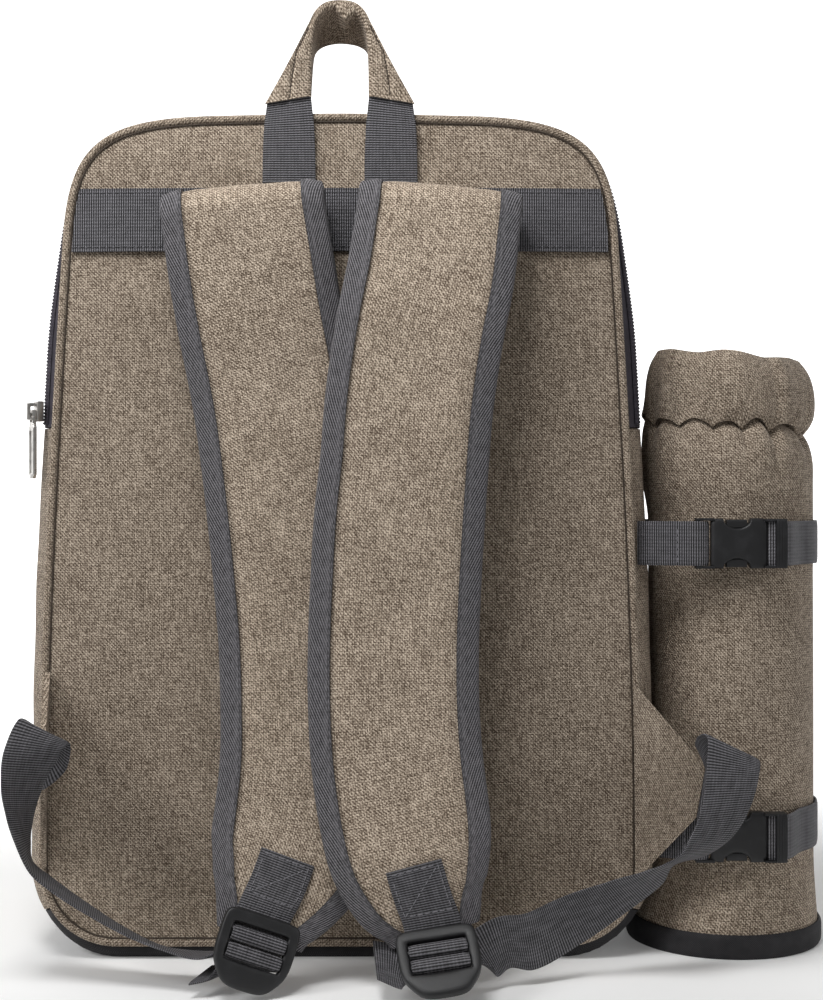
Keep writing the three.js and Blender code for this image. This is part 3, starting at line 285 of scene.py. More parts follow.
def sizes():
    return bpy.context.scene.backpack_sizes


def colours():
    return bpy.context.scene.backpack_colours


class Value:
    """A shader socket in Python arithmetic; every operator adds one Math node."""

    def __init__(self, shader, socket):
        self.shader, self.socket = shader, socket

    def math(self, operation, *others):
        return self.shader.math(operation, self, *others)

    def __add__(self, other):
        return self.math("ADD", other)

    def __sub__(self, other):
        return self.math("SUBTRACT", other)

    def __mul__(self, other):
        return self.math("MULTIPLY", other)

    def __truediv__(self, other):
        return self.math("DIVIDE", other)

    def __rsub__(self, other):
        return self.shader.math("SUBTRACT", other, self)

    __radd__ = __add__
    __rmul__ = __mul__

    def floor(self):
        return self.math("FLOOR")

    def wave(self):
        """Sine of the value, brought to 0..1."""
        return self.math("SINE") * 0.5 + 0.5

    def between(self, low, high):
        """Smooth step from 0 at low to 1 at high."""
        sockets = {"Value": self, "From Min": low, "From Max": high}
        return self.shader.node("ShaderNodeMapRange", {"interpolation_type": "SMOOTHSTEP"}, sockets)


class Shader:
    """A material with one Principled shader and helpers that add nodes."""

    def __init__(self, name, **constants):
        self.material = bpy.data.materials.new(name)
        self.material.use_nodes = True
        self.tree = self.material.node_tree
        self.tree.nodes.clear()
        output = self.tree.nodes.new("ShaderNodeOutputMaterial")
        self.surface = self.tree.nodes.new("ShaderNodeBsdfPrincipled")
        self.tree.links.new(self.surface.outputs[0], output.inputs["Surface"])
        for socket, value in constants.items():
            self.surface.inputs[socket.replace("_", " ")].default_value = value

    def node(self, kind, settings, inputs, out=0):
        """Adds a node: settings first, then the values or links of its sockets; gives one output."""
        made = self.tree.nodes.new(kind)
        for key, value in settings.items():
            if key == "stops":
                ramp = made.color_ramp
                while len(ramp.elements) < len(value):
                    ramp.elements.new(1.0)
                for element, (place, colour) in zip(ramp.elements, value):
                    element.position = place
                    element.color = (*colour, 1.0)
            else:
                setattr(made, key, value)
        for key, value in inputs.items():
            if isinstance(value, Value):
                self.tree.links.new(value.socket, made.inputs[key])
            else:
                made.inputs[key].default_value = value
        return Value(self, made.outputs[out])

    def math(self, operation, *values):
        return self.node("ShaderNodeMath", {"operation": operation}, dict(enumerate(values)))

    def flat(self):
        """The piece's own UV map in metres, across and along."""
        uv = self.node("ShaderNodeUVMap", {"uv_map": "weave"}, {})
        split = self.node("ShaderNodeSeparateXYZ", {}, {0: uv})
        return split, Value(self, split.socket.node.outputs[1])

    def place(self):
        return self.node("ShaderNodeTexCoord", {}, {}, "Object")

    def at(self, x, y, z=0.0):
        return self.node("ShaderNodeCombineXYZ", {}, {0: x, 1: y, 2: z})

    def noise(self, where, scale=1.0, detail=1.0):
        sockets = {"Vector": where, "Scale": scale, "Detail": detail, "Roughness": 0.55}
        return self.node("ShaderNodeTexNoise", {"noise_dimensions": "3D"}, sockets)

    def ramp(self, value, stops):
        return self.node("ShaderNodeValToRGB", {"stops": stops}, {0: value})

    def mix(self, factor, a, b):
        """Mix of two colours, each a value or three numbers."""
        first, second = (x if isinstance(x, Value) else (*x, 1.0) for x in (a, b))
        return self.node("ShaderNodeMix", {"data_type": "RGBA"}, {0: factor, 6: first, 7: second}, 2)

    def bump(self, height, strength, distance):
        sockets = {"Height": height, "Strength": strength, "Distance": distance}
        return self.node("ShaderNodeBump", {}, sockets)

    def drive(self, **sockets):
        for socket, value in sockets.items():
            self.tree.links.new(value.socket, self.surface.inputs[socket.replace("_", " ")])
        return self.material


def shade(colour, share):
    """Colour times a share, no part above 1."""
    return tuple(min(1.0, share * c) for c in colour)


def cloth_finish(name, dark, mid, light, yarn):
    """Plain weave of mixed yarns: a slanting grain, yarns that keep a tone for a few mm, knots, slubs."""
    s = Shader(name, Specular_IOR_Level=0.2, Sheen_Weight=0.06, Sheen_Roughness=0.5)
    u, v = s.flat()
    x, y = u / yarn, v / yarn
    drift = s.noise(s.at(u / 0.004, v / 0.004, 17.0)) * 0.9
    grain = ((x + y + drift) * math.pi).wave()
    cross = ((x - y) * math.pi).wave()
    ribs = (u * (2 * math.pi / 0.0011)).wave() + (v * (2 * math.pi / 0.0011)).wave()
    warp, weft = x.floor(), y.floor()
    over = (warp + weft).math("FLOORED_MODULO", 2.0)
    warp_tone = s.noise(s.at(warp * 1.618, v / 0.005))
    weft_tone = s.noise(s.at(u / 0.005, weft * 1.618, 7.3))
    tone = weft_tone + over * (warp_tone - weft_tone)
    cell = s.at((x * 1.7).floor(), (y * 1.7).floor())
    knot = s.node("ShaderNodeTexWhiteNoise", {"noise_dimensions": "2D"}, {"Vector": cell})
    slub = s.noise(s.at(u / 0.009, v / 0.0008, 3.1)) + s.noise(s.at(u / 0.0008, v / 0.009, 5.7))
    cloud = s.noise(s.at(u / 0.03, v / 0.03, 11.0))
    level = ((grain - 0.5) * 0.38 + (cross - 0.5) * 0.12 + (ribs - 1.0) * 0.22 + (tone - 0.5) * 0.62
             + (knot - 0.5) * 0.6 + (slub - 1.0) * 0.5 + (cloud - 0.5) * 0.16 + 0.5)
    colour = s.ramp(level, [(0.05, dark), (0.5, mid), (0.95, light)])
    relief = s.bump(grain + tone, 0.6, 0.0003)
    return s.drive(Base_Color=colour, Normal=relief, Roughness=0.98 - tone * 0.12)


def webbing_finish(name, colour, rib, column, depth):
    """Flat nylon webbing: ribs across its length, broken by columns into a grid of short dashes."""
    s = Shader(name, Specular_IOR_Level=0.3, Sheen_Weight=0.05)
    u, v = s.flat()
    ribs = (v * (2 * math.pi / rib)).wave()
    columns = (u * (2 * math.pi / column)).wave()
    wear = s.noise(s.at(u / 0.003, v / 0.009))
    level = ((ribs - 0.5) * 1.3 + (columns - 0.5) * 0.22) * depth + (wear - 0.5) * 0.5 + 0.43
    tint = s.ramp(level, [(0.08, shade(colour, 0.12)), (0.45, colour), (0.95, shade(colour, 2.5))])
    return s.drive(Base_Color=tint, Normal=s.bump(ribs * columns, 0.7, 0.0003), Roughness=0.8 - ribs * 0.2)


def binding_finish(name, colour, pitch):
    """Twill tape: slanting lines crossed by faint weft lines, a plainer rim inside, and painted shadow along
    its edge beside the pad.
    """
    s = Shader(name, Specular_IOR_Level=0.3, Sheen_Weight=0.05)
    u, v = s.flat()
    lines = ((u + v * 0.45) * (2 * math.pi / pitch)).wave()
    weft = (v * (2 * math.pi / pitch)).wave()
    rim = 1.0 - u.between(0.0028, 0.0044)
    # Painted shadow: the tape darkened along its inner edge, where it meets the pad.
    groove = u.between(0.0001, 0.0007) * 0.6 + 0.4
    thread = s.noise(s.at(u / 0.0011, v / 0.004))
    woven = (lines * 0.95 + weft * 0.2 - 0.12) * (1.0 - rim * 0.5) + rim * 0.3
    level = (woven + (thread - 0.5) * 0.8) * groove
    tint = s.ramp(level, [(0.05, shade(colour, 0.15)), (0.45, colour), (0.95, shade(colour, 2.3))])
    return s.drive(Base_Color=tint, Normal=s.bump(lines, 0.5, 0.0003), Roughness=0.88 - lines * 0.15)


def dark_finish(name, colour, yarn, gloss):
    """Close dark weave with a faint drift of tone."""
    s = Shader(name, Specular_IOR_Level=0.3)
    u, v = s.flat()
    twill = ((u + v) * (2 * math.pi / yarn)).wave() * ((u - v) * (2 * math.pi / yarn)).wave()
    drift = s.noise(s.at(u / 0.006, v / 0.006))
    level = twill * 0.6 + (drift - 0.5) * 0.6 + 0.15
    tint = s.ramp(level, [(0.0, shade(colour, 0.55)), (0.9, shade(colour, 1.8))])
    return s.drive(Base_Color=tint, Normal=s.bump(twill, 0.4, 0.0002), Roughness=gloss - twill * 0.1)


def plastic_finish(name, colour):
    """Moulded plastic with a fine spark-eroded grain and slight scuffs."""
    s = Shader(name, Specular_IOR_Level=0.45)
    grain = s.noise(s.place(), 2600.0, 2.0)
    scuff = s.noise(s.place(), 160.0, 3.0)
    tint = s.mix(scuff.between(0.45, 0.75), colour, shade(colour, 1.7))
    return s.drive(Base_Color=tint, Normal=s.bump(grain, 0.25, 0.00008), Roughness=0.4 + scuff * 0.18)


def nickel_finish(name, colour):
    """Plated die casting: bright, with a fine brushed drift and dull spots."""
    s = Shader(name, Metallic=1.0)
    brushed = s.noise(s.place(), 900.0, 2.0)
    spots = s.noise(s.place(), 240.0, 3.0)
    tint = s.mix(spots.between(0.5, 0.75), colour, shade(colour, 0.62))
    return s.drive(Base_Color=tint, Normal=s.bump(brushed, 0.15, 0.00005), Roughness=0.2 + spots * 0.2)


def thread_finish(name, colour):
    """Spun sewing thread; its brown slot also colours the painted shadow beside the piping."""
    s = Shader(name, Specular_IOR_Level=0.4)
    ply = s.noise(s.place(), 1800.0, 1.0)
    tint = s.mix(ply, shade(colour, 0.6), shade(colour, 1.5))
    return s.drive(Base_Color=tint, Roughness=0.6 + ply * 0.2)


def finish(slot):
    """The material of a slot, made once."""
    name = f"{slot}_finish"
    found = bpy.data.materials.get(name)
    if found:
        return found
    c, z = colours(), sizes()
    tones = [tuple(tone) for tone in (c.cloth_dark, c.cloth_mid, c.cloth_light)]
    makers = {
        "cloth": lambda: cloth_finish(name, *tones, z.yarn),
        # Painted light: the straps' cloth is the cloth made lighter, for the stronger light on the straps.
        "strap_cloth_painted_light": lambda: cloth_finish(name, *(shade(x, STRAP_PAINTED_LIGHT_SHARE) for x in tones), z.yarn),
        "webbing": lambda: webbing_finish(name, tuple(c.webbing), z.rib, z.column, 1.0),
        "soft_webbing": lambda: webbing_finish(name, tuple(c.webbing), z.rib, z.column, SOFT_RIBS),
        "binding": lambda: binding_finish(name, tuple(c.binding), z.chevron),
        "zip_tape": lambda: dark_finish(name, tuple(c.zip_tape), 0.0012, 0.8),
        "base_cloth": lambda: dark_finish(name, tuple(c.base), 0.0010, 0.85),
        "buckle_plastic": lambda: plastic_finish(name, tuple(c.plastic)),
        "nickel": lambda: nickel_finish(name, tuple(c.nickel)),
        "thread_grey": lambda: thread_finish(name, shade(c.webbing, 2.4)),
        "thread_dark": lambda: thread_finish(name, shade(c.webbing, 0.7)),
        "thread_tan": lambda: thread_finish(name, tuple(c.cloth_mid)),
        # Brown thread of the handle's seam; the same finish is the painted shadow beside the piping.
        "thread_brown_and_painted_shadow": lambda: thread_finish(name, shade(c.cloth_dark, 0.6)),
    }
    return makers[slot]()


def unit(a):
    """Vectors brought to length 1."""
    return a / np.maximum(np.linalg.norm(a, axis=-1, keepdims=True), 1e-12)


def smooth(t):
    """Cubic step from 0 to 1."""
    t = np.clip(t, 0, 1)
    return t * t * (3 - 2 * t)


def lengths(points):
    """Distance run along a line of points."""
    return np.concatenate([[0.0], np.cumsum(np.linalg.norm(np.diff(points, axis=0), axis=1))])


def sway(u, v, span, height):
    """Soft undulation: three crossed sine waves over a span."""
    a, b = 2 * np.pi * u / span, 2 * np.pi * v / span
    waves = (np.sin(0.9 * a + 0.5 * b + 0.7) + 0.7 * np.sin(1.7 * b - 0.6 * a + 2.1)
             + 0.5 * np.sin(2.3 * a + 1.9 * b + 4))
    return height * waves / 2.2


def spline(points, t, tension=None):
    """Cubic through the points at t in 0..1 and its slope.

    Spans are spaced by the root of their length unless a tension is given.
    """
    p = np.asarray(points, float)
    n = len(p) - 1
    p = np.vstack([2 * p[0] - p[1], p, 2 * p[-1] - p[-2]])
    s = np.clip(np.asarray(t, float) * n, 0, n)
    i = np.minimum(s.astype(int), n - 1)
    w = (s - i)[:, None]
    a, b, c, d = p[i], p[i + 1], p[i + 2], p[i + 3]
    if tension is None:
        d0, d1, d2 = (np.maximum(np.linalg.norm(f - e, axis=1, keepdims=True) ** 0.5, 1e-6)
                      for e, f in ((a, b), (b, c), (c, d)))
        m = ((b - a) / d0 - (c - a) / (d0 + d1) + (c - b) / d1) * d1
        q = ((c - b) / d1 - (d - b) / (d1 + d2) + (d - c) / d2) * d1
    else:
        m, q = tension * (c - a), tension * (d - b)
    k2, k3 = 3 * (c - b) - 2 * m - q, 2 * (b - c) + m + q
    return b + w * (m + w * (k2 + w * k3)), m + w * (2 * k2 + 3 * w * k3)


def cells(rows, columns, round_rows=False, round_columns=False):
    """Row and column of the four corners of every cell of a grid; a round direction closes on itself."""
    down, across = np.arange(rows - (not round_rows)), np.arange(columns - (not round_columns))
    i, j = np.meshgrid(down, across, indexing="ij")
    return i.ravel()[:, None] + np.array([0, 1, 1, 0]), j.ravel()[:, None] + np.array([0, 0, 1, 1])


def outward(points, faces):
    """True if the faces of a closed shell look out, by the sign of its volume."""
    volume = 0.0
    for f in faces:
        a = points[f[:, 0]]
        for k in range(1, f.shape[1] - 1):
            volume += np.einsum("ij,ij->i", a, np.cross(points[f[:, k]], points[f[:, k + 1]])).sum()
    return volume > 0


def moulded(name, grids, slot, replaces):
    """Piece of several shells: rows round a section, capped at both ends or closed into a ring."""
    points, faces, flats, start = [], [], [], 0
    for grid, ring in grids:
        rows, columns = grid.shape[:2]
        i, j = cells(rows, columns, ring, True)
        shell = [(i % rows) * columns + j % columns]
        if not ring:
            shell += [np.arange(columns)[None, ::-1], (rows - 1) * columns + np.arange(columns)[None]]
        flat = grid.reshape(-1, 3)
        if not outward(flat, shell):
            shell = [f[:, ::-1] for f in shell]
        points.append(flat)
        faces += [f + start for f in shell]
        flats += [flat[f][..., [0, 2]] for f in shell]
        start += len(flat)
    return mesh_piece(name, np.concatenate(points), faces, flats, slot, replaces, crisp=40)


def rounded(angle, power):
    """Cosine and sine drawn out towards a box with rounded corners."""
    c, s = np.cos(angle), np.sin(angle)
    return np.sign(c) * np.abs(c) ** power, np.sign(s) * np.abs(s) ** power


def rod(start, end, first, second, power):
    """Straight bar from start to end: a rounded box section spanned by two half-size directions."""
    c, s = rounded(np.linspace(0, 2 * np.pi, 24, endpoint=False), power)
    t = np.array([0.0, 1.0])[:, None, None]
    return start + (end - start) * t + (first * c[:, None] + second * s[:, None]), False


def mesh_piece(name, points, faces, flat, slot, replaces=(), crisp=50):
    """Mesh from points in mm, face index arrays and one UV in mm per corner; turned to face out."""
    points = np.asarray(points, float) * MM
    if not outward(points, faces):
        faces = [f[:, ::-1] for f in faces]
        flat = [g[:, ::-1] for g in flat]
    corners = np.concatenate([f.ravel() for f in faces]).astype(np.int32)
    counts = np.concatenate([np.full(len(f), f.shape[1]) for f in faces])
    mesh = bpy.data.meshes.new(name)
    mesh.vertices.add(len(points))
    mesh.vertices.foreach_set("co", points.astype(np.float32).ravel())
    mesh.loops.add(len(corners))
    mesh.loops.foreach_set("vertex_index", corners)
    mesh.polygons.add(len(counts))
    mesh.polygons.foreach_set("loop_start", (np.cumsum(counts) - counts).astype(np.int32))
    mesh.polygons.foreach_set("use_smooth", np.ones(len(counts), bool))
    mesh.update(calc_edges=True)
    weave = np.concatenate([g.reshape(-1, 2) for g in flat]) * MM
    mesh.uv_layers.new(name="weave").data.foreach_set("uv", weave.astype(np.float32).ravel())
    if mesh.validate():
        raise RuntimeError(f"{name} has bad faces")
    mesh.set_sharp_from_angle(angle=math.radians(crisp))
    return settle(bpy.data.objects.new(name, mesh), slot, replaces)


def settle(piece, slot, replaces=(), body="bag"):
    """Links a piece, gives it the finish of its slot, ties it to its body and hides the solids it stands
    for.
    """
    bpy.context.scene.collection.objects.link(piece)
    piece.data.materials.append(finish(slot))
    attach(piece, body)
    if replaces:
        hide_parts(*replaces)
    return piece


def slab(name, face, back, flat, slot, replaces=(), round_columns=False):
    """Closed layer between two grids: both faces, and a wall along each edge that stays open."""
    rows, columns = face.shape[:2]
    behind = rows * columns
    points = np.concatenate([face.reshape(-1, 3), back.reshape(-1, 3)])
    i, j = cells(rows, columns, False, round_columns)
    index = i * columns + j % columns
    flat_at = flat[i, j]
    faces, flats = [index, (index + behind)[:, ::-1]], [flat_at, flat_at[:, ::-1]]
    at = np.arange(behind).reshape(rows, columns)
    line = np.append(np.arange(columns), 0) if round_columns else np.arange(columns)
    edges = [(at[0][line][::-1], flat[0, :len(line)][::-1]), (at[-1][line], flat[-1, :len(line)])]
    if not round_columns:
        edges += [(at[:, 0], flat[:, 0]), (at[:, -1][::-1], flat[:, -1][::-1])]
    for line, place in edges:
        a, b = line[:-1], line[1:]
        over = place.astype(float)
        wall = np.linalg.norm(points[line] - points[line + behind], axis=1)
        over[:, np.argmin(np.ptp(place, 0))] += wall
        faces.append(np.stack([b, a, a + behind, b + behind], 1))
        flats.append(np.stack([place[1:], place[:-1], over[:-1], over[1:]], 1))
    return mesh_piece(name, points, faces, flats, slot, replaces)


def flat_grid(rows, columns):
    """UV grid in mm from the distance along the rows and across the columns."""
    v, u = np.meshgrid(rows, columns, indexing="ij")
    return np.stack([u, v], -1)


def seam(k, side=1.0):
    """Seam outline: row floor(k) as a cubic Bezier at the rest of k; gives x, z and the outward normal."""
    k = np.atleast_1d(np.asarray(k, float))
    row = np.minimum(k.astype(int), len(OUTLINE) - 1)
    t = (k - row)[:, None]
    s = 1 - t
    a, b, c, d = (OUTLINE[row, i] for i in range(4))
    point = s ** 3 * a + 3 * s * s * t * b + 3 * s * t * t * c + t ** 3 * d
    slope = unit(s * s * (b - a) + 2 * s * t * (c - b) + t * t * (d - c))
    return np.column_stack([side * point[:, 0], point[:, 1], side * slope[:, 1], -slope[:, 0]])


def seam_at_height(z):
    """Place on the right side of the outline at a height."""
    k = np.linspace(1, len(OUTLINE), 8001)
    return np.interp(z, seam(k)[:, 1], k)


def even_run(k0, k1, step):
    """Places along the outline about one step apart."""
    k = np.linspace(k0, k1, 4001)
    far = lengths(seam(k)[:, :2])
    return np.interp(np.linspace(0, far[-1], max(2, round(far[-1] / step) + 1)), far, k)


def both_sides(k):
    """Up the right side, over the middle and down the left side."""
    return np.vstack([seam(k), seam(k[:-1][::-1], -1.0)])


def gusset(places, depth, offset):
    """Side wall: the outline pushed out along its normal by a bulge that rises as a sine from each seam."""
    x, z, nx, nz = (places[:, i][:, None] for i in range(4))
    side, end = nx * nx, nz * nz
    shoulder = smooth((z - SHOULDER_FROM) / (SHOULDER_TO - SHOULDER_FROM))
    beside = SIDE_BULGE + (SHOULDER_BULGE - SIDE_BULGE) * shoulder
    bulge = beside * side + np.where(nz > 0, TOP_BULGE, BASE_DROP) * end
    rise = SIDE_RISE * side + np.where(nz > 0, TOP_RISE, BASE_RISE) * end
    near = np.minimum(depth, DEPTH - depth)
    b = bulge * np.sin(np.pi / 2 * np.minimum(1, near / rise)) + offset
    return np.stack([x + nx * b, np.broadcast_to(BACK_Y + depth, b.shape), z + nz * b], -1)


def gusset_piece(name, places, depth, slot, waves=0.0, outer=0.0, inner=-WALL):
    """Strip of the side wall between two offsets, with soft waves that die out towards both seams."""
    flat = flat_grid(lengths(places[:, :2]), depth)
    ends = np.minimum(1, np.minimum(depth - depth[0], depth[-1] - depth) / GUSSET_CALM)
    swell = sway(flat[..., 0], flat[..., 1], GUSSET_SWAY_SPAN, waves) * ends
    face, back = (gusset(places, depth, offset + swell) for offset in (outer, inner))
    slab(name, face, back, flat, slot, [name])


def panel_puff(share, z, puff):
    """Puff of a panel: the product of two quartics, one across its width and one over its height."""
    up = (z - PANEL_MID_Z) / PANEL_HALF_Z
    return puff * (1 - share ** 4) * np.maximum(0, 1 - up ** 4)


def panel_piece(name, y, outward, puff, thick, waves):
    """Sewn panel: rows across the outline, puffed and gently waved, the waves dying out at the seam."""
    place = seam(even_run(1, 4.96, 3.0))
    half, z = place[:, 0] - place[:, 2] * PANEL_INSET, place[:, 1] - place[:, 3] * PANEL_INSET
    share = np.sin(np.pi / 2 * np.linspace(-1, 1, 97))
    x = half[:, None] * share
    height = np.broadcast_to(z[:, None], x.shape)
    above, below = (PANEL_TOP_Z - height) / PANEL_CALM, (height - PANEL_LOW_Z) / PANEL_CALM
    hold = (1 - share ** 4) * np.clip(above, 0, 1) * np.clip(below, 0, 1)
    puffed = panel_puff(share, height, puff) + sway(x, height, PANEL_SWAY_SPAN, waves) * hold
    face = np.stack([x, y + outward * (PANEL_SKIN + puffed), height], -1)
    inside = -BACK_LINING if thick == 0 else PANEL_SKIN - thick + puffed
    back = np.stack([x, np.broadcast_to(y + outward * inside, x.shape), height], -1)
    return slab(name, face, back, np.stack([x, height], -1), "cloth", [name])


def band_face(x, z):
    """Depth of the webbing band's inner face: the puffed back panel and a small lift."""
    half = seam(seam_at_height(z))[:, 0] - PANEL_INSET
    return BACK_Y - PANEL_SKIN - panel_puff(x / half, z, BACK_PUFF) - BAND_LIFT


def ribbon_piece(name, rows, width, thick, count, slot="webbing"):
    """Webbing: a flat section with eased edges carried along rows of places and width directions."""
    t = np.linspace(0, 1, count)
    p, ahead = spline(rows[:, :3], t)
    wide = unit(spline(rows[:, 3:6], t, 0.4)[0])
    out = unit(np.cross(wide, unit(ahead)))
    share = np.linspace(-1, 1, 13)
    half = thick / 2 * (1 - 0.5 * share ** 12)
    widths = np.interp(t, np.linspace(0, 1, np.size(width)), np.ravel(width))
    middle = p[:, None] + wide[:, None] * (share * widths[:, None] / 2)[..., None]
    lift = out[:, None] * half[None, :, None]
    face, flat = middle + lift, flat_grid(lengths(p), share * widths[0] / 2)
    slab(name, face, middle - lift, flat, slot, [name])
    return face, flat


def on_ribbon(face, flat, u, v):
    """Points of a ribbon's face at distances across and along, and the outward direction there."""
    rows = np.interp(v, flat[:, 0, 1], np.arange(len(flat)))
    columns = np.interp(u, flat[0, :, 0], np.arange(flat.shape[1]))
    i = np.minimum(rows.astype(int), len(flat) - 2)
    j = np.minimum(columns.astype(int), flat.shape[1] - 2)
    a, b = (rows - i)[:, None], (columns - j)[:, None]
    low = face[i, j] * (1 - b) + face[i, j + 1] * b
    high = face[i + 1, j] * (1 - b) + face[i + 1, j + 1] * b
    out = unit(np.cross(face[i, j + 1] - face[i, j], face[i + 1, j] - face[i, j]))
    return low * (1 - a) + high * a, out


def along(at, far, points):
    """Points of a line at distances along it."""
    return np.stack([np.interp(at, far, points[:, c]) for c in range(3)], 1)


def stitch_rows(name, lines, slot, loose=1.35, stout=1.0):
    """Thread: along each line a six-sided spindle for each stitch, half sunk, one stitch and a gap apart."""
    long, wide = sizes().stitch / MM, sizes().thread * stout / MM
    centres, aheads, outs = [], [], []
    for points, out in lines:
        far = lengths(points)
        at = np.arange(long / 2, far[-1] - long / 2, long * loose)
        centres.append(along(at, far, points))
        aheads.append(unit(along(at + long / 2, far, points) - along(at - long / 2, far, points)))
        outs.append(unit(along(at, far, np.broadcast_to(out, points.shape))))
    centre, ahead, out = (np.concatenate(a) for a in (centres, aheads, outs))
    across = unit(np.cross(ahead, out))
    s = np.array([-1, -0.72, 0, 0.72, 1])
    girth = np.array([0.3, 0.85, 1, 0.85, 0.3])
    a = np.arange(6) * np.pi / 3
    ring = out[:, None, None] * np.cos(a)[:, None] + across[:, None, None] * np.sin(a)[:, None]
    points = (centre[:, None, None] + ahead[:, None, None] * (s * long / 2)[:, None, None]
              + ring * (girth * wide / 2)[:, None, None] - out[:, None, None] * (wide * 0.1))
    i, j = cells(5, 6, False, True)
    one = i * 6 + j % 6
    start = (np.arange(len(centre)) * 30)[:, None]
    sides = (start[:, :, None] + one[None]).reshape(-1, 4)
    caps = np.concatenate([start + np.arange(6)[::-1], start + 24 + np.arange(6)])
    flats = [np.zeros((len(sides), 4, 2)), np.zeros((len(caps), 6, 2))]
    return mesh_piece(name, points.reshape(-1, 3), [sides, caps], flats, slot)


def bevelled_copy(node, slot, width, body="bag"):
    """Rounded twin of a moulded solid: its mesh with doubles merged and flat faces joined, under a bevel."""
    mesh = bpy.data.meshes.new(f"{node}_moulded")
    work = bmesh.new()
    work.from_mesh(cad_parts[node].data)
    bmesh.ops.remove_doubles(work, verts=work.verts, dist=2e-6)
    bmesh.ops.dissolve_limit(work, angle_limit=math.radians(1.5), verts=work.verts, edges=work.edges)
    work.to_mesh(mesh)
    work.free()
    mesh.polygons.foreach_set("use_smooth", np.ones(len(mesh.polygons), bool))
    piece = bpy.data.objects.new(f"{node}_moulded", mesh)
    bevel = piece.modifiers.new("moulded_edges", "BEVEL")
    bevel.width, bevel.segments, bevel.limit_method = width, 3, "ANGLE"
    bevel.angle_limit, bevel.harden_normals = math.radians(28), True
    return settle(piece, slot, [node], body)


def make_panels():
    """Back and front panels."""
    back = panel_piece("back_panel", BACK_Y, -1, BACK_PUFF, 0, BACK_SWAY)
    front = panel_piece("front_panel", FRONT_Y, 1, FRONT_PUFF, WALL, FRONT_SWAY)


def make_gusset():
    """Side panels below the zip ends, top gusset beyond the zip, and the base."""
    low, zip_end = seam_at_height(BASE_EDGE_Z), seam_at_height(ZIP_END_Z)
    side_depth = np.linspace(SEAM_GAP, DEPTH - SEAM_GAP, 56)
    run = even_run(low + BASE_JOIN, zip_end - ZIP_JOIN, 4.0)
    gusset_piece("side_panel_right", seam(run), side_depth, "cloth", SIDE_SWAY)
    gusset_piece("side_panel_left", seam(run, -1.0), side_depth, "cloth", SIDE_SWAY)
    over = both_sides(even_run(zip_end + ZIP_JOIN, len(OUTLINE), 4.0))
    top_depth = np.linspace(ZIP_TAPE_END + GAP, DEPTH - SEAM_GAP, 48)
    gusset_piece("top_gusset", over, top_depth, "cloth", TOP_SWAY)
    under = both_sides(even_run(0, low, 4.0)[::-1])
    edge = np.linspace(SEAM_GAP, 8, 12)
    deep = np.concatenate([edge, np.linspace(11, DEPTH - 11, 44), DEPTH - edge[::-1]])
    gusset_piece("bottom_panel", under, deep, "base_cloth")


def make_piping():
    """Round cord cased in cloth: a circle carried along the outline, with a thin dark tube beside it that is
    painted shadow in the groove next to the panel.
    """
    k = even_run(0, len(OUTLINE), 2.5)
    place = both_sides(k)[:-1]
    a = np.linspace(0, 2 * np.pi, 16, endpoint=False)
    for name, y in (("back_piping", BACK_Y), ("front_piping", FRONT_Y)):
        x, z, nx, nz = (place[:, i][:, None] for i in range(4))
        out = PIPING_OFFSET + PIPING_RADIUS * np.cos(a)
        across = np.broadcast_to(y + PIPING_RADIUS * np.sin(a), (len(place), len(a)))
        tube = np.stack([x + nx * out, across, z + nz * out], -1)
        far = lengths(np.vstack([place[:, :2], place[:1, :2]]))
        flat = flat_grid(far, np.linspace(0, 2 * np.pi * PIPING_RADIUS, 17))
        i, j = cells(*tube.shape[:2], True, True)
        index = (i % len(place)) * len(a) + j % len(a)
        mesh_piece(f"{name}_cord", tube.reshape(-1, 3), [index], [flat[i, j]], "cloth", [name])
        # A thin dark tube in the groove between the cord and the panel: painted shadow, in the brown
        # thread's finish.
        shadow_inset = PIPING_OFFSET - PIPING_RADIUS + PIPING_SHADOW_RADIUS * (np.cos(a) - 0.3)
        front = np.sign(y) * 0.55 * PIPING_RADIUS
        across = np.broadcast_to(y + front + PIPING_SHADOW_RADIUS * np.sin(a), (len(place), len(a)))
        line = np.stack([x + nx * shadow_inset, across, z + nz * shadow_inset], -1)
        mesh_piece(f"{name}_painted_groove_shadow", line.reshape(-1, 3), [index], [flat[i, j]], "thread_brown_and_painted_shadow")


def make_zip():
    """Tape, coil with one ridge per tooth, slider and pull."""
    zip_end = seam_at_height(ZIP_END_Z)
    over = both_sides(even_run(zip_end + ZIP_JOIN, len(OUTLINE), 3.0))
    tape_depth = np.linspace(SEAM_GAP, ZIP_TAPE_END, 20)
    gusset_piece("zip_tape", over, tape_depth, "zip_tape", outer=ZIP_TAPE_FACE, inner=ZIP_TAPE_BACK)
    teeth = both_sides(even_run(seam_at_height(ZIP_END_Z + 1.5), len(OUTLINE), 0.42))
    far = lengths(teeth[:, :2])
    depth = np.linspace(COIL_FROM, COIL_TO, 9)
    share = (depth - COIL_FROM) / (COIL_TO - COIL_FROM) * 2 - 1
    ridge = 0.5 + 0.5 * np.cos(2 * np.pi * (far[:, None] / TOOTH_PITCH + 0.18 * np.abs(share)))
    crown = np.sqrt(np.clip(1 - 0.8 * share ** 2, 0, 1)) * (1 - 0.45 * np.exp(-(share / 0.12) ** 2))
    outer = GAP + 0.15 + (COIL_HEIGHT - GAP - 0.15) * crown * (0.45 + 0.55 * ridge)
    low = np.full_like(outer, GAP)
    slab("zip_coil_teeth", gusset(teeth, depth, outer), gusset(teeth, depth, low), flat_grid(far, depth),
         "zip_tape", ["zip_coil"])
    bevelled_copy("zip_slider", "nickel", 0.0005)
    bevelled_copy("zip_pull", "nickel", 0.0004, body="zip_pull")


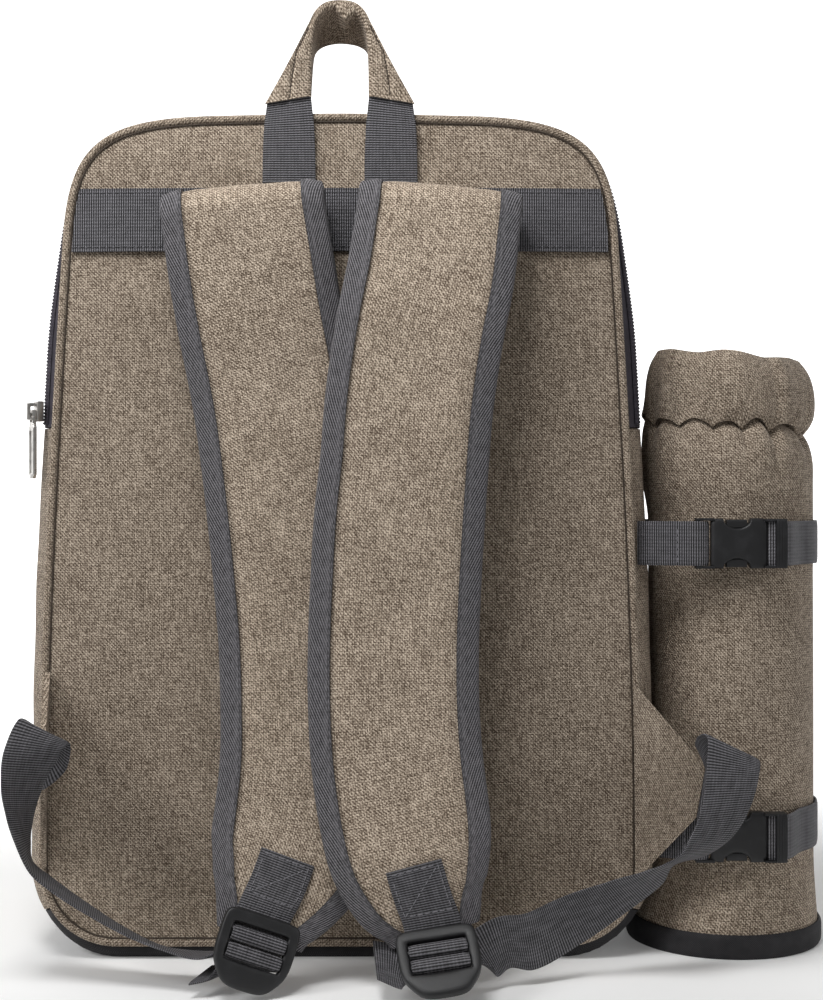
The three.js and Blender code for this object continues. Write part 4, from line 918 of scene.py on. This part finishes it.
def make_band():
    """Flat webbing laid across the back panel."""
    z = np.linspace(BAND_LOW, BAND_HIGH, 15)
    share = np.linspace(-1, 1, 81)
    x = (seam(seam_at_height(z))[:, 0] - BAND_INSET)[:, None] * share
    height = np.broadcast_to(z[:, None], x.shape)
    y = band_face(x.ravel(), height.ravel()).reshape(x.shape)
    face = np.stack([x, y - WEB_THICK, height], -1)
    back = np.stack([x, y, height], -1)
    flat = np.stack([height - BAND_LOW, x], -1)
    slab("webbing_band_woven", face, back, flat, "webbing", ["webbing_band"])
    lines = []
    for row in (1, 13):
        lines.append((face[row] - np.array([0, 0.1, 0]), np.array([0.0, -1.0, 0.0])))
    stitch_rows("band_stitches", lines, "thread_dark")


def make_handle():
    """Two webbing legs and a padded sleeve: a strip bent round a crease that moves across it upwards."""
    for name, side in (("handle_webbing_left", -1), ("handle_webbing_right", 1)):
        rows = np.array([[side * HANDLE_HALF_SPAN, HANDLE_Y, z, 1, 0, -side * slant]
                         for z, slant in HANDLE_WEB_ROWS], float)
        ribbon_piece(name, rows, HANDLE_WEB_WIDTHS, WEB_THICK, 24)
    mirror = SLEEVE[:-1][::-1] * np.array([-1, 1, -1, 1, 1, 1])
    table, _ = spline(np.vstack([SLEEVE, mirror]), np.linspace(0, 1, SLEEVE_STATIONS))
    x, z, outer_x, outer_z, deep, drop = table.T
    dip = SLEEVE_DIP * np.clip(1 - np.abs(x - SLEEVE_DIP_X) / SLEEVE_DIP_HALF, 0, 1)
    dip *= smooth((z - SLEEVE_DIP_Z) / 5)
    plane = np.full(SLEEVE_STATIONS, HANDLE_Y - SLEEVE_LIFT)
    crease = np.stack([x, plane, z - dip], 1)
    toward = np.stack([outer_x, plane, outer_z], 1) - crease
    front = np.linalg.norm(toward, axis=1)[:, None]
    behind = np.stack([0 * x, np.sqrt(1 - drop ** 2) * deep, dip - drop * deep], 1)
    deep = np.linalg.norm(behind, axis=1)[:, None]
    run = np.concatenate([-front * np.linspace(1, 0, 29)[:-1], deep * np.linspace(0, 1, 49)], 1)
    bend = np.sqrt(run ** 2 + SLEEVE_ROUND ** 2)
    middle = (crease[:, None] + unit(toward)[:, None] * ((bend - run) / 2)[..., None]
              + unit(behind)[:, None] * ((bend + run) / 2)[..., None])
    out = unit(np.cross(np.gradient(middle, axis=1), np.gradient(middle, axis=0)))
    far = lengths(np.stack([x, plane, z], 1))
    end = np.minimum(far, far[-1] - far)[:, None]
    share = (2 * run - deep + front) / (deep + front)
    round_off = 0.45 + 0.55 * (1 - share ** 6)
    half = SLEEVE_THICK / 2 * round_off * (0.9 + 0.4 * np.exp(-end / 2.5))
    under = round_off * (0.4 + 0.6 * np.exp(-end / 4))
    aside = SLEEVE_SEAM - SLEEVE_SEAM_RISE * np.clip(end / SLEEVE_SEAM_RUN, 0, 1)
    line = -np.minimum(aside, front - SLEEVE_SEAM_EDGE)
    groove = SLEEVE_GROOVE * np.exp(-((run - line) / SLEEVE_GROOVE_WIDTH) ** 2)
    groove *= 1 - smooth((end - SLEEVE_GROOVE_END) / 6)
    face = middle + out * (half - groove)[..., None]
    back = middle - out * under[..., None]
    flat = np.stack([run, np.broadcast_to(far[:, None], run.shape)], -1)
    sleeve = slab("handle_sleeve_padded", face, back, flat, "cloth", ["handle_sleeve"])
    lines = []
    stitched = np.arange(1, SLEEVE_STITCHED)
    for rows in (stitched, SLEEVE_STATIONS - 1 - stitched[::-1]):
        i = np.argmin(np.abs(run[rows] - line[rows]), axis=1)
        lines.append((face[rows, i], out[rows, i]))
    stitch_rows("handle_stitches", lines, "thread_brown_and_painted_shadow", 1.03, 1.9)


def strap_half(inside):
    """Half thickness of a strap at a distance from its edge: a quarter of a sine."""
    share = np.clip(inside, 0, STRAP_ROLL) / STRAP_ROLL
    return STRAP_EDGE_HALF + (STRAP_HALF_THICK - STRAP_EDGE_HALF) * np.sin(np.pi / 2 * share)


def strap_stations(rows, count):
    """A short root, half a circle of fold, then the hanging run of a shoulder strap.

    Gives places, directions across and out, widths and shares of the thickness.
    """
    first = rows[0, :3]
    down = unit((rows[1, :3] - first) * np.array([FOLD_LEAN, 0, 1]))
    across = np.array([-down[2], 0, down[0]])
    ahead_y = np.array([0.0, 1.0, 0.0])
    root_at = np.linspace(1, 0, 4)[:-1, None]
    root = first + 2 * FOLD_RADIUS * ahead_y + down * ROOT_LENGTH * root_at
    root[:, 1] += (ROOT_Y - root[:, 1]) * root_at[:, 0]
    a = np.linspace(0, np.pi, 17)[:, None]
    fold = first + ahead_y * FOLD_RADIUS * (1 + np.cos(a)) - down * FOLD_RADIUS * np.sin(a)
    fold_ahead = -down * np.cos(a) - ahead_y * np.sin(a)
    t = np.linspace(0, 1, count)[1:]
    run, ahead = spline(rows[:, :3], t)
    width = spline(rows[:, 3:], t, 0.5)[0][:, 0]
    ahead = unit(ahead)
    side = unit(np.column_stack([-ahead[:, 2], np.zeros(len(t)), ahead[:, 0]]))
    turn = smooth(t * (len(rows) - 1))[:, None]
    side = unit(across * (1 - turn) + side * turn)
    points = np.vstack([root, fold, run])
    aheads = np.vstack([np.repeat(-down[None], 3, 0), fold_ahead, ahead])
    sides = np.vstack([np.repeat(across[None], 3 + len(a), 0), side])
    outs = unit(np.cross(aheads, sides))
    root_width = ROOT_WIDTH + (rows[0, 3] - ROOT_WIDTH) * (1 - root_at[:, 0])
    widths = np.concatenate([root_width, np.full(len(a), rows[0, 3]), width])
    end = np.clip(((1 - t) * (len(rows) - 1) - 1) / 3, 0, 1)
    thick = np.concatenate([np.full(3, 0.52), 0.55 + 0.45 * a[:, 0] / np.pi, 0.62 + 0.38 * end])
    return points, sides, outs, widths, thick


def make_straps():
    """Padded shoulder straps with twill binding folded round both edges."""
    seams = []
    for name, rows in (("left", STRAP_LEFT), ("right", STRAP_RIGHT)):
        p, side, out, width, thick = strap_stations(rows, 150)
        far = lengths(p)
        half = width / 2 - BINDING_THICK - GAP
        share = np.sin(np.pi / 2 * np.linspace(-1, 1, 49))
        a = half[:, None] * share
        h = thick[:, None] * strap_half(half[:, None] - np.abs(a))
        calm = np.clip((half[:, None] - np.abs(a) - STRAP_CALM_FROM) / STRAP_CALM, 0, 1)
        dent = sway(a, np.broadcast_to(far[:, None], a.shape), STRAP_SWAY_SPAN, STRAP_SWAY) * calm
        middle = p[:, None] + side[:, None] * a[..., None]
        face = middle + out[:, None] * (h + dent)[..., None]
        back = middle - out[:, None] * h[..., None]
        over = lengths(face[:, face.shape[1] // 2])
        flat = np.stack([a, np.broadcast_to(-over[:, None], a.shape)], -1)
        strap = f"shoulder_strap_{name}"
        # The pad is clad in the lightened cloth: painted light on the straps.
        pad = slab(f"{strap}_padded", face, back, flat, "strap_cloth_painted_light", [strap])
        outer = -1 if name == "left" else 1
        for which, sign in (("outer", outer), ("inner", -outer)):
            tape = f"strap_binding_{name}_{which}"
            lap = BINDING_WIDTH - BINDING_THICK - GAP
            inside = np.linspace(lap, 0, 9)
            turn = np.linspace(np.pi / 2, -np.pi / 2, 9)[1:-1]
            cover, hold = [], []
            for skin, grid in ((GAP + BINDING_THICK, cover), (GAP, hold)):
                lift = thick[:, None] * strap_half(inside)[None] + skin
                round_edge = lift[:, -1:]
                over = half[:, None] + (skin + 0.2 * (skin > 0.5)) * np.cos(turn)[None]
                grid.append((half[:, None] - inside[None], lift))
                grid.append((over, round_edge * np.sin(turn)[None]))
                grid.append((half[:, None] - inside[None, ::-1], -lift[:, ::-1]))
            sheets = []
            for grid in (cover, hold):
                reach = np.hstack([g[0] for g in grid])
                lift = np.hstack([np.broadcast_to(g[1], g[0].shape) for g in grid])
                beside = p[:, None] + side[:, None] * (sign * reach)[..., None]
                sheets.append(beside + out[:, None] * lift[..., None])
            across = lengths(sheets[0][len(p) // 2])
            slab(f"{tape}_twill", sheets[0], sheets[1], flat_grid(far, across), "binding", [tape])
            seams.append((sheets[0][3:, 1], out[3:]))
    stitch_rows("strap_stitches", seams, "thread_dark")


def lock_axes(lock):
    """Origin of a lock and its directions along, across and out, square to each other."""
    origin, down, across = lock
    down = unit(down)
    across = unit(across - np.dot(across, down) * down)
    return origin, down, across, np.cross(down, across)


def lock_rows(lock, table):
    """Table rows along and out of a lock, turned into places with the lock's width direction."""
    origin, down, across, out = lock_axes(lock)
    at = origin + table[:, :1] * down + table[:, 1:] * out
    return np.hstack([at, np.repeat(across[None], len(at), 0)])


def lock_piece(name, lock):
    """Ladder lock: a ring of rounded section between window and outline, and two bars across the window."""
    origin, down, across, out = lock_axes(lock)
    middle = (LOCK_WINDOW[0] + LOCK_WINDOW[1]) / 2
    w, n = LOCK_HALF_WIDTH, LOCK_LENGTH
    edge = np.array([[w - 3, 0], [w - 0.9, 0.9], [w, 3], [w, n - 13], [w - 1.2, n - 9], [w - 4.4, n - 4.4],
                     [w - 7.4, n - 1.2], [w - 10.6, n]])
    edge = np.vstack([edge, edge[::-1] * [-1, 1]]) - [0, middle]
    tall = (LOCK_WINDOW[1] - LOCK_WINDOW[0]) / 2
    hole = np.array([[1, -1], [1, 1], [-1, 1], [-1, -1]]) * [LOCK_WINDOW_HALF, tall]
    a = np.linspace(0, 2 * np.pi, 144, endpoint=False)
    ray = np.stack([np.cos(a), np.sin(a)], 1)

    def reach(corners, power):
        """Distance along each ray to a convex outline; a soft minimum over the sides rounds its corners."""
        sides = np.roll(corners, -1, 0) - corners
        normal = unit(np.column_stack([sides[:, 1], -sides[:, 0]]))
        far = np.abs(np.sum(normal * corners, 1))
        normal *= np.sign(np.sum(normal * corners, 1))[:, None]
        closeness = np.maximum(ray @ normal.T, 1e-6) / far
        return np.sum(closeness ** power, 1) ** (-1 / power)

    outer, inner = reach(edge, 26), reach(hole, 40)
    c, s = rounded(np.linspace(0, 2 * np.pi, 20, endpoint=False), 0.55)
    radius = ((outer + inner)[:, None] + (outer - inner)[:, None] * c) / 2
    lift = LOCK_HALF_THICK * s * (1 + 0.12 * np.sin(a)[:, None])
    flat = radius[..., None] * ray[:, None]
    ring = origin + down * middle + flat[..., :1] * across + flat[..., 1:] * down + lift[..., None] * out
    shells = [(ring, True)]
    reach_out = across * (LOCK_WINDOW_HALF + 1)
    for low, high in LOCK_BARS:
        at = origin + down * (low + high) / 2
        half = down * (high - low) / 2
        shells.append(rod(at - reach_out, at + reach_out, half, out * LOCK_BAR_HALF, 0.7))
    moulded(f"ladder_lock_{name}_moulded", shells, "buckle_plastic", [f"ladder_lock_{name}"])


def make_locks():
    """Ladder locks, the stitched tabs that hold them and the adjuster webbing that runs through them."""
    lines = []
    t = np.linspace(0, 1, 30)[:, None]
    for name, lock in LOCKS.items():
        lock_piece(name, lock)
        tab = np.vstack([TABS[name], lock_rows(lock, TAB_HOOK)])
        face, flat = ribbon_piece(f"strap_tab_{name}", tab, WEB_WIDTH, LOCK_WEB_THICK, 110, "soft_webbing")
        wide, top, low = TAB_BOX_HALF, TAB_BOX_TOP, TAB_BOX_LOW[name]
        corner = np.array([[-wide, top], [wide, top], [wide, low], [-wide, low]])
        for a, b in ((0, 1), (1, 2), (2, 3), (3, 0), (3, 1)):
            spot = corner[a] + (corner[b] - corner[a]) * t
            at, out = on_ribbon(face, flat, spot[:, 0], spot[:, 1])
            lines.append((at - out * (LOCK_WEB_THICK + TAB_THREAD_LIFT), -out))
        web = np.vstack([ADJUSTERS[name], lock_rows(lock, WEB_OVER_BAR), TAILS[name]])
        ribbon_piece(f"adjuster_webbing_{name}", web, WEB_WIDTH, LOCK_WEB_THICK, 420, "soft_webbing")
    stitch_rows("tab_stitches", lines, "thread_grey", 1.3)


def make_wings():
    """Cloth triangles from the side seams to the webbing: a ruled surface with a soft swell."""
    lines = []
    for name, (top_seam, low_seam, top_tip, low_tip) in WINGS.items():
        t, s = np.meshgrid(np.linspace(0, 1, 41), np.linspace(0, 1, 41), indexing="ij")
        t, s = t[..., None], s[..., None]
        upper, lower = top_seam + (top_tip - top_seam) * t, low_seam + (low_tip - low_seam) * t
        middle = upper + (lower - upper) * s
        out = unit(np.cross(top_tip - top_seam, top_seam - low_seam))
        swell = WING_SWELL * np.sin(np.pi * t) * np.sin(np.pi * s)
        lift = WING_THICK / 2
        face, back = middle + out * (lift + swell), middle - out * (lift - swell)
        across = np.linalg.norm(top_tip - top_seam) * t[..., 0]
        flat = np.stack([across, middle[..., 2]], -1)
        cloth = slab(f"wing_{name}_cloth", face, back, flat, "cloth", [f"wing_{name}"])
        shown, sign = (face, 1) if out[1] < 0 else (back, -1)
        lines += [(shown[2:-1, row], out * sign) for row in (2, 38)]
    stitch_rows("wing_stitches", lines, "thread_tan")


def pouch_surface(rows, angle):
    """Pouch rows of radius and height: scallops are the size of a sine, folds and lumps uneven cosines."""
    radius, z, fold, scallop, lump, slant, shift = (rows[:, i][:, None] for i in range(7))
    turn = angle + np.pi / 2 - GATHER_TURN
    uneven = turn + 0.07 * np.sin(3 * turn + 0.8) + 0.03 * np.sin(5 * turn)
    size = 0.8 + 0.2 * np.sin(3 * turn + 0.4) + 0.14 * np.sin(7 * turn)
    arch = np.abs(np.sin(GATHERS * uneven)) ** 0.8 * size
    gather = 2 * arch - 1 + 0.3 * np.cos(23 * turn + 1)
    swell = np.cos(5 * turn + 0.6) + 0.6 * np.cos(8 * turn + 2.2) + 0.3 * np.cos(13 * turn)
    r = radius + np.maximum(fold, 0) * gather + lump * swell
    height = z + slant * np.cos(angle) + scallop * (arch - 0.4) + 0.6 * lump * np.cos(6 * turn + 1.4)
    return np.stack([POUCH_X + shift + r * np.cos(angle), POUCH_Y + r * np.sin(angle), height], -1)


def make_pouch():
    """Gathered bottle pouch with a frill, its dark base and the binding round the foot."""
    angle = np.linspace(0, 2 * np.pi, 280, endpoint=False)
    outer = spline(POUCH_OUTER, np.linspace(0, 1, 170))[0]
    inner = spline(POUCH_INNER, np.linspace(0, 1, 80))[0]
    rows = np.vstack([outer, inner])
    grid = pouch_surface(rows, angle[None])
    far = lengths(np.column_stack([rows[:, 0], rows[:, 1]]))
    far = np.append(far, far[-1] + 4)
    flat = flat_grid(far, np.linspace(0, 2 * np.pi * POUCH_FLAT_RADIUS, len(angle) + 1))
    i, j = cells(len(rows), len(angle), True, True)
    index = (i % len(rows)) * len(angle) + j % len(angle)
    mesh_piece("bottle_pouch_cloth", grid.reshape(-1, 3), [index], [flat[i, j]], "cloth", ["bottle_pouch"])
    radius = np.linspace(0.4, POUCH_BASE_RADIUS, 24)
    x, y = POUCH_BASE_X + radius[:, None] * np.cos(angle), POUCH_Y + radius[:, None] * np.sin(angle)
    disc = np.stack([x, y, np.zeros_like(x)], -1)
    lift = np.array([0, 0, POUCH_BASE_THICK])
    flat_disc = np.concatenate([disc, disc[:, :1]], 1)[..., :2]
    slab("pouch_base_disc", disc + lift, disc, flat_disc, "base_cloth", ["pouch_base"], round_columns=True)
    foot, hem = POUCH_OUTER[0], POUCH_OUTER[1]
    t = np.linspace(0, 1, 9)
    base = foot + (hem - foot) * t[:, None]
    base[:, 1] = 0.2 + (BASE_BINDING_HEIGHT - 0.2) * t
    skin = base.copy()
    base[:, 0] += BASE_BINDING_GAP
    skin[:, 0] += BASE_BINDING_GAP + BASE_BINDING_THICK * (1 - 0.6 * np.abs(2 * t - 1) ** 6)
    face, back = pouch_surface(skin, angle[None]), pouch_surface(base, angle[None])
    flat = flat_grid(t * BASE_BINDING_HEIGHT, np.linspace(0, 2 * np.pi * FOOT_FLAT_RADIUS, len(angle) + 1))
    node = "pouch_base_binding"
    slab(f"{node}_tape", face, back, flat, "base_cloth", [node], round_columns=True)


def buckle_pieces(name, z):
    """Side-release buckle: a scooped socket with ears and a bar; a plug with buttons, rails and a grip."""
    centre = np.array([BUCKLE_X, BUCKLE_Y, z])
    x_way, out, up = np.array([1.0, 0, 0]), np.array([0, -1.0, 0]), np.array([0, 0, 1.0])

    def box(x, h, o, power=0.3):
        """Rounded box between pairs of distances along, up and out."""
        low, high = (centre + x_way * at + up * sum(h) / 2 + out * sum(o) / 2 for at in x)
        return rod(low, high, up * (h[1] - h[0]) / 2, out * (o[1] - o[0]) / 2, power)

    def pair(x, h, half, o, power=0.3):
        """Two boxes at the same distance below and above the middle."""
        return [box(x, (side * h - half, side * h + half), o, power) for side in (-1, 1)]

    x = np.linspace(SOCKET_FROM, SOCKET_TO, 90)
    near, beyond = x - SOCKET_FROM, x - SOCKET_TO
    scoop = np.sqrt(np.clip(1 - ((x - SCOOP_X) / SCOOP_HALF) ** 2, 0, 1))
    corner = 1 - 0.1 * np.exp(-near / 1.2) - 0.1 * np.exp(beyond / 1.0)
    tall = (BUCKLE_HALF_HEIGHT - SCOOP_DEPTH * scoop) * corner
    ease = 1 - 0.35 * np.exp(-near / 0.8) - 0.35 * np.exp(beyond / 0.8)
    thick = BUCKLE_HALF_THICK * (1 - 0.12 * ((x + 1) / 13.6) ** 2) * ease
    c, s = rounded(np.linspace(0, 2 * np.pi, 48, endpoint=False), 0.3)
    rise, proud = (tall[:, None] * c)[..., None], (thick[:, None] * s)[..., None]
    body = centre + x_way * x[:, None, None] + up * rise + out * proud
    h = BUCKLE_HALF_HEIGHT
    ears = pair((-22, -13), h - 0.6, 0.65, (-2.6, 3.0))
    bar = box((-22, -19.4), (-h + 0.6, h - 0.6), (-3, 0.4))
    buttons = pair((-7.2, 2.6), 9.4, 2.2, (-2.4, 2.4), 0.45)
    rails = pair((11, 21.4), h - 0.9, 0.6, (-2, 4.6))
    foot = box((14.6, 19), (-h + 0.5, h - 0.5), (-2.6, 0.6))
    grip = [box((at, at + 1.2), (-h + 0.5, h - 0.5), (3.9, 5.4), 0.7) for at in (16.4, 17.7, 19.0, 20.3)]
    for half, shells in (("socket", [(body, False), *ears, bar]), ("plug", [*buttons, *rails, foot, *grip])):
        node = f"pouch_buckle_{name}_{half}"
        moulded(f"{node}_moulded", shells, "buckle_plastic", [node])


def upright(plan, z):
    """Rows of a level run at one height from its x and y, the width standing upright."""
    return np.column_stack([plan, np.full(len(plan), z), np.tile([0.0, 0, 1], (len(plan), 1))])


def make_pouch_straps():
    """Webbing from the bag round the pouch, closed by side-release buckles."""
    lines = []
    a = np.radians(POUCH_TURNS)
    radius = POUCH_WEB_RADIUS
    around = np.column_stack([POUCH_X + radius * np.sin(a), POUCH_Y - radius * np.cos(a)])
    back_y = POUCH_Y + radius
    for name, z in POUCH_STRAP_Z.items():
        ends = np.array([POUCH_STRAP_START, POUCH_STRAP_END])
        start, end = gusset(seam(seam_at_height(z)), ends, 0.0)[0]
        near = upright(np.vstack([[start[0] + 0.9, start[1] - 0.8], SOCKET_WEB]), z)
        face, flat = ribbon_piece(f"pouch_strap_{name}_bag", near, POUCH_WEB_WIDTH, WEB_THICK, 60)
        last = np.array([[end[0] + 18, back_y], [end[0] + 0.5, back_y]])
        far = upright(np.vstack([PLUG_WEB, around, last]), z)
        ribbon_piece(f"pouch_strap_{name}_round", far, POUCH_WEB_WIDTH, WEB_THICK, 160)
        at, out = on_ribbon(face, flat, np.linspace(-9.6, 9.6, 20), np.full(20, 20.0))
        if out[0, 1] > 0:
            at, out = at - out * WEB_THICK, -out
        lines.append((at, out))
        buckle_pieces(name, z)
    stitch_rows("pouch_strap_stitches", lines, "thread_grey", 1.3)


def make_stage():
    """Pale floor, bright backdrop, soft lights and the camera."""
    stage = bpy.context.scene.backpack_stage
    scene = bpy.context.scene
    for name, corners, glow in (
        ("floor", [(-4, -2, 0), (4, -2, 0), (4, 4, 0), (-4, 4, 0)], 0.75),
        ("backdrop", [(-6, 4, -1), (6, 4, -1), (6, 4, 5), (-6, 4, 5)], 1.0),
    ):
        mesh = bpy.data.meshes.new(name)
        mesh.from_pydata(corners, [], [(0, 1, 2, 3)])
        plane = bpy.data.objects.new(name, mesh)
        scene.collection.objects.link(plane)
        s = Shader(f"{name}_pale", Roughness=0.9, Emission_Strength=glow)
        tone = s.noise(s.place(), 1.5, 2.0)
        y = s.node("ShaderNodeSeparateXYZ", {}, {0: s.place()}, 1)
        pale = s.mix(tone, (0.84, 0.84, 0.835), (0.88, 0.88, 0.875))
        seen = s.node("ShaderNodeLightPath", {}, {}, "Is Camera Ray")
        glowing = y.between(0.05, 0.5) + seen * (1 - y.between(-0.45, -0.18))
        s.drive(Base_Color=s.mix(y.between(-0.3, -0.12), (0.4, 0.4, 0.4), pale),
                Emission_Color=s.mix(glowing, (0.12, 0.12, 0.12), (1.0, 1.0, 1.0)))
        mesh.materials.append(s.material)
    world = bpy.data.worlds.new("studio")
    world.use_nodes = True
    sky = world.node_tree
    sky.nodes["Background"].inputs[0].default_value = (1.0, 1.0, 1.0, 1.0)
    seen = sky.nodes.new("ShaderNodeLightPath")
    strength = sky.nodes.new("ShaderNodeMath")
    strength.operation = "MAXIMUM"
    strength.inputs[1].default_value = stage.ambient
    sky.links.new(seen.outputs["Is Camera Ray"], strength.inputs[0])
    sky.links.new(strength.outputs[0], sky.nodes["Background"].inputs[1])
    scene.world = world
    target = np.array([0.02, -0.06, 0.22])
    for name, at, size, power in (
        ("key", (-1.2, -0.8, 1.05), 0.6, stage.key),
        ("fill", (1.7, -0.55, 0.55), 0.9, stage.fill),
        ("top", (-0.14, -0.46, 0.92), 0.3, stage.top),
    ):
        light = bpy.data.lights.new(name, "AREA")
        light.size, light.energy = size, power
        lamp = bpy.data.objects.new(name, light)
        lamp.visible_camera = False
        scene.collection.objects.link(lamp)
        lamp.location = at
        aim = Vector((target - np.array(at)).tolist())
        lamp.rotation_euler = aim.to_track_quat("-Z", "Y").to_euler()
    camera = bpy.data.cameras.new("camera")
    camera.lens, camera.sensor_width, camera.clip_end = stage.lens, 36.0, 50.0
    view = bpy.data.objects.new("camera", camera)
    scene.collection.objects.link(view)
    view.location = (stage.sideways, -stage.distance, stage.height)
    view.rotation_euler = (math.pi / 2, 0, 0)
    scene.camera = view
    scene.view_settings.view_transform = "Standard"


class BACKPACK_OT_panels(bpy.types.Operator):
    """Sew the back and front panels."""
    bl_idname = "backpack.panels"
    bl_label = "Panels"

    def execute(self, context):
        make_panels()
        return {"FINISHED"}


class BACKPACK_OT_gusset(bpy.types.Operator):
    """Make the side walls, top and base."""
    bl_idname = "backpack.gusset"
    bl_label = "Gusset"

    def execute(self, context):
        make_gusset()
        return {"FINISHED"}


class BACKPACK_OT_piping(bpy.types.Operator):
    """Lay the piping round both seams."""
    bl_idname = "backpack.piping"
    bl_label = "Piping"

    def execute(self, context):
        make_piping()
        return {"FINISHED"}


class BACKPACK_OT_zip(bpy.types.Operator):
    """Set in the zip with its slider and pull."""
    bl_idname = "backpack.zip"
    bl_label = "Zip"

    def execute(self, context):
        make_zip()
        return {"FINISHED"}


class BACKPACK_OT_band(bpy.types.Operator):
    """Stitch the webbing band across the back."""
    bl_idname = "backpack.band"
    bl_label = "Webbing band"

    def execute(self, context):
        make_band()
        return {"FINISHED"}


class BACKPACK_OT_handle(bpy.types.Operator):
    """Make the grab handle."""
    bl_idname = "backpack.handle"
    bl_label = "Grab handle"

    def execute(self, context):
        make_handle()
        return {"FINISHED"}


class BACKPACK_OT_straps(bpy.types.Operator):
    """Make the padded shoulder straps and their binding."""
    bl_idname = "backpack.straps"
    bl_label = "Shoulder straps"

    def execute(self, context):
        make_straps()
        return {"FINISHED"}


class BACKPACK_OT_locks(bpy.types.Operator):
    """Make the ladder locks, tabs and adjuster webbing."""
    bl_idname = "backpack.locks"
    bl_label = "Ladder locks and webbing"

    def execute(self, context):
        make_locks()
        return {"FINISHED"}


class BACKPACK_OT_wings(bpy.types.Operator):
    """Make the cloth wings at the side seams."""
    bl_idname = "backpack.wings"
    bl_label = "Wings"

    def execute(self, context):
        make_wings()
        return {"FINISHED"}


class BACKPACK_OT_pouch(bpy.types.Operator):
    """Make the bottle pouch."""
    bl_idname = "backpack.pouch"
    bl_label = "Bottle pouch"

    def execute(self, context):
        make_pouch()
        return {"FINISHED"}


class BACKPACK_OT_pouch_straps(bpy.types.Operator):
    """Make the pouch straps and buckles."""
    bl_idname = "backpack.pouch_straps"
    bl_label = "Pouch straps and buckles"

    def execute(self, context):
        make_pouch_straps()
        return {"FINISHED"}


class BACKPACK_OT_stage(bpy.types.Operator):
    """Set the floor, lights and camera."""
    bl_idname = "backpack.stage"
    bl_label = "Stage"

    def execute(self, context):
        make_stage()
        return {"FINISHED"}


OPERATORS = (
    BACKPACK_OT_stage, BACKPACK_OT_panels, BACKPACK_OT_gusset, BACKPACK_OT_piping, BACKPACK_OT_zip,
    BACKPACK_OT_band, BACKPACK_OT_handle, BACKPACK_OT_straps, BACKPACK_OT_locks, BACKPACK_OT_wings,
    BACKPACK_OT_pouch, BACKPACK_OT_pouch_straps,
)
GROUPS = {
    "backpack_sizes": BackpackSizes, "backpack_colours": BackpackColours, "backpack_stage": BackpackStage,
}


class BACKPACK_PT_sidebar(bpy.types.Panel):
    """Sizes, colours and steps of the backpack."""
    bl_idname = "BACKPACK_PT_sidebar"
    bl_label = "Picnic Backpack"
    bl_space_type = "VIEW_3D"
    bl_region_type = "UI"
    bl_category = "Backpack"

    def draw(self, context):
        for name, group in GROUPS.items():
            box = self.layout.box()
            for key in group.__annotations__:
                box.prop(getattr(context.scene, name), key)
        for operator in OPERATORS:
            self.layout.operator(operator.bl_idname)


def register():
    for item in (*GROUPS.values(), *OPERATORS, BACKPACK_PT_sidebar):
        bpy.utils.register_class(item)
    for name, group in GROUPS.items():
        setattr(bpy.types.Scene, name, PointerProperty(type=group))


def unregister():
    for name in GROUPS:
        delattr(bpy.types.Scene, name)
    for item in reversed((*GROUPS.values(), *OPERATORS, BACKPACK_PT_sidebar)):
        bpy.utils.unregister_class(item)


def main():
    register()
    for operator in OPERATORS:
        group, step = operator.bl_idname.split(".")
        getattr(getattr(bpy.ops, group), step)()


if __name__ == "__main__":
    main()
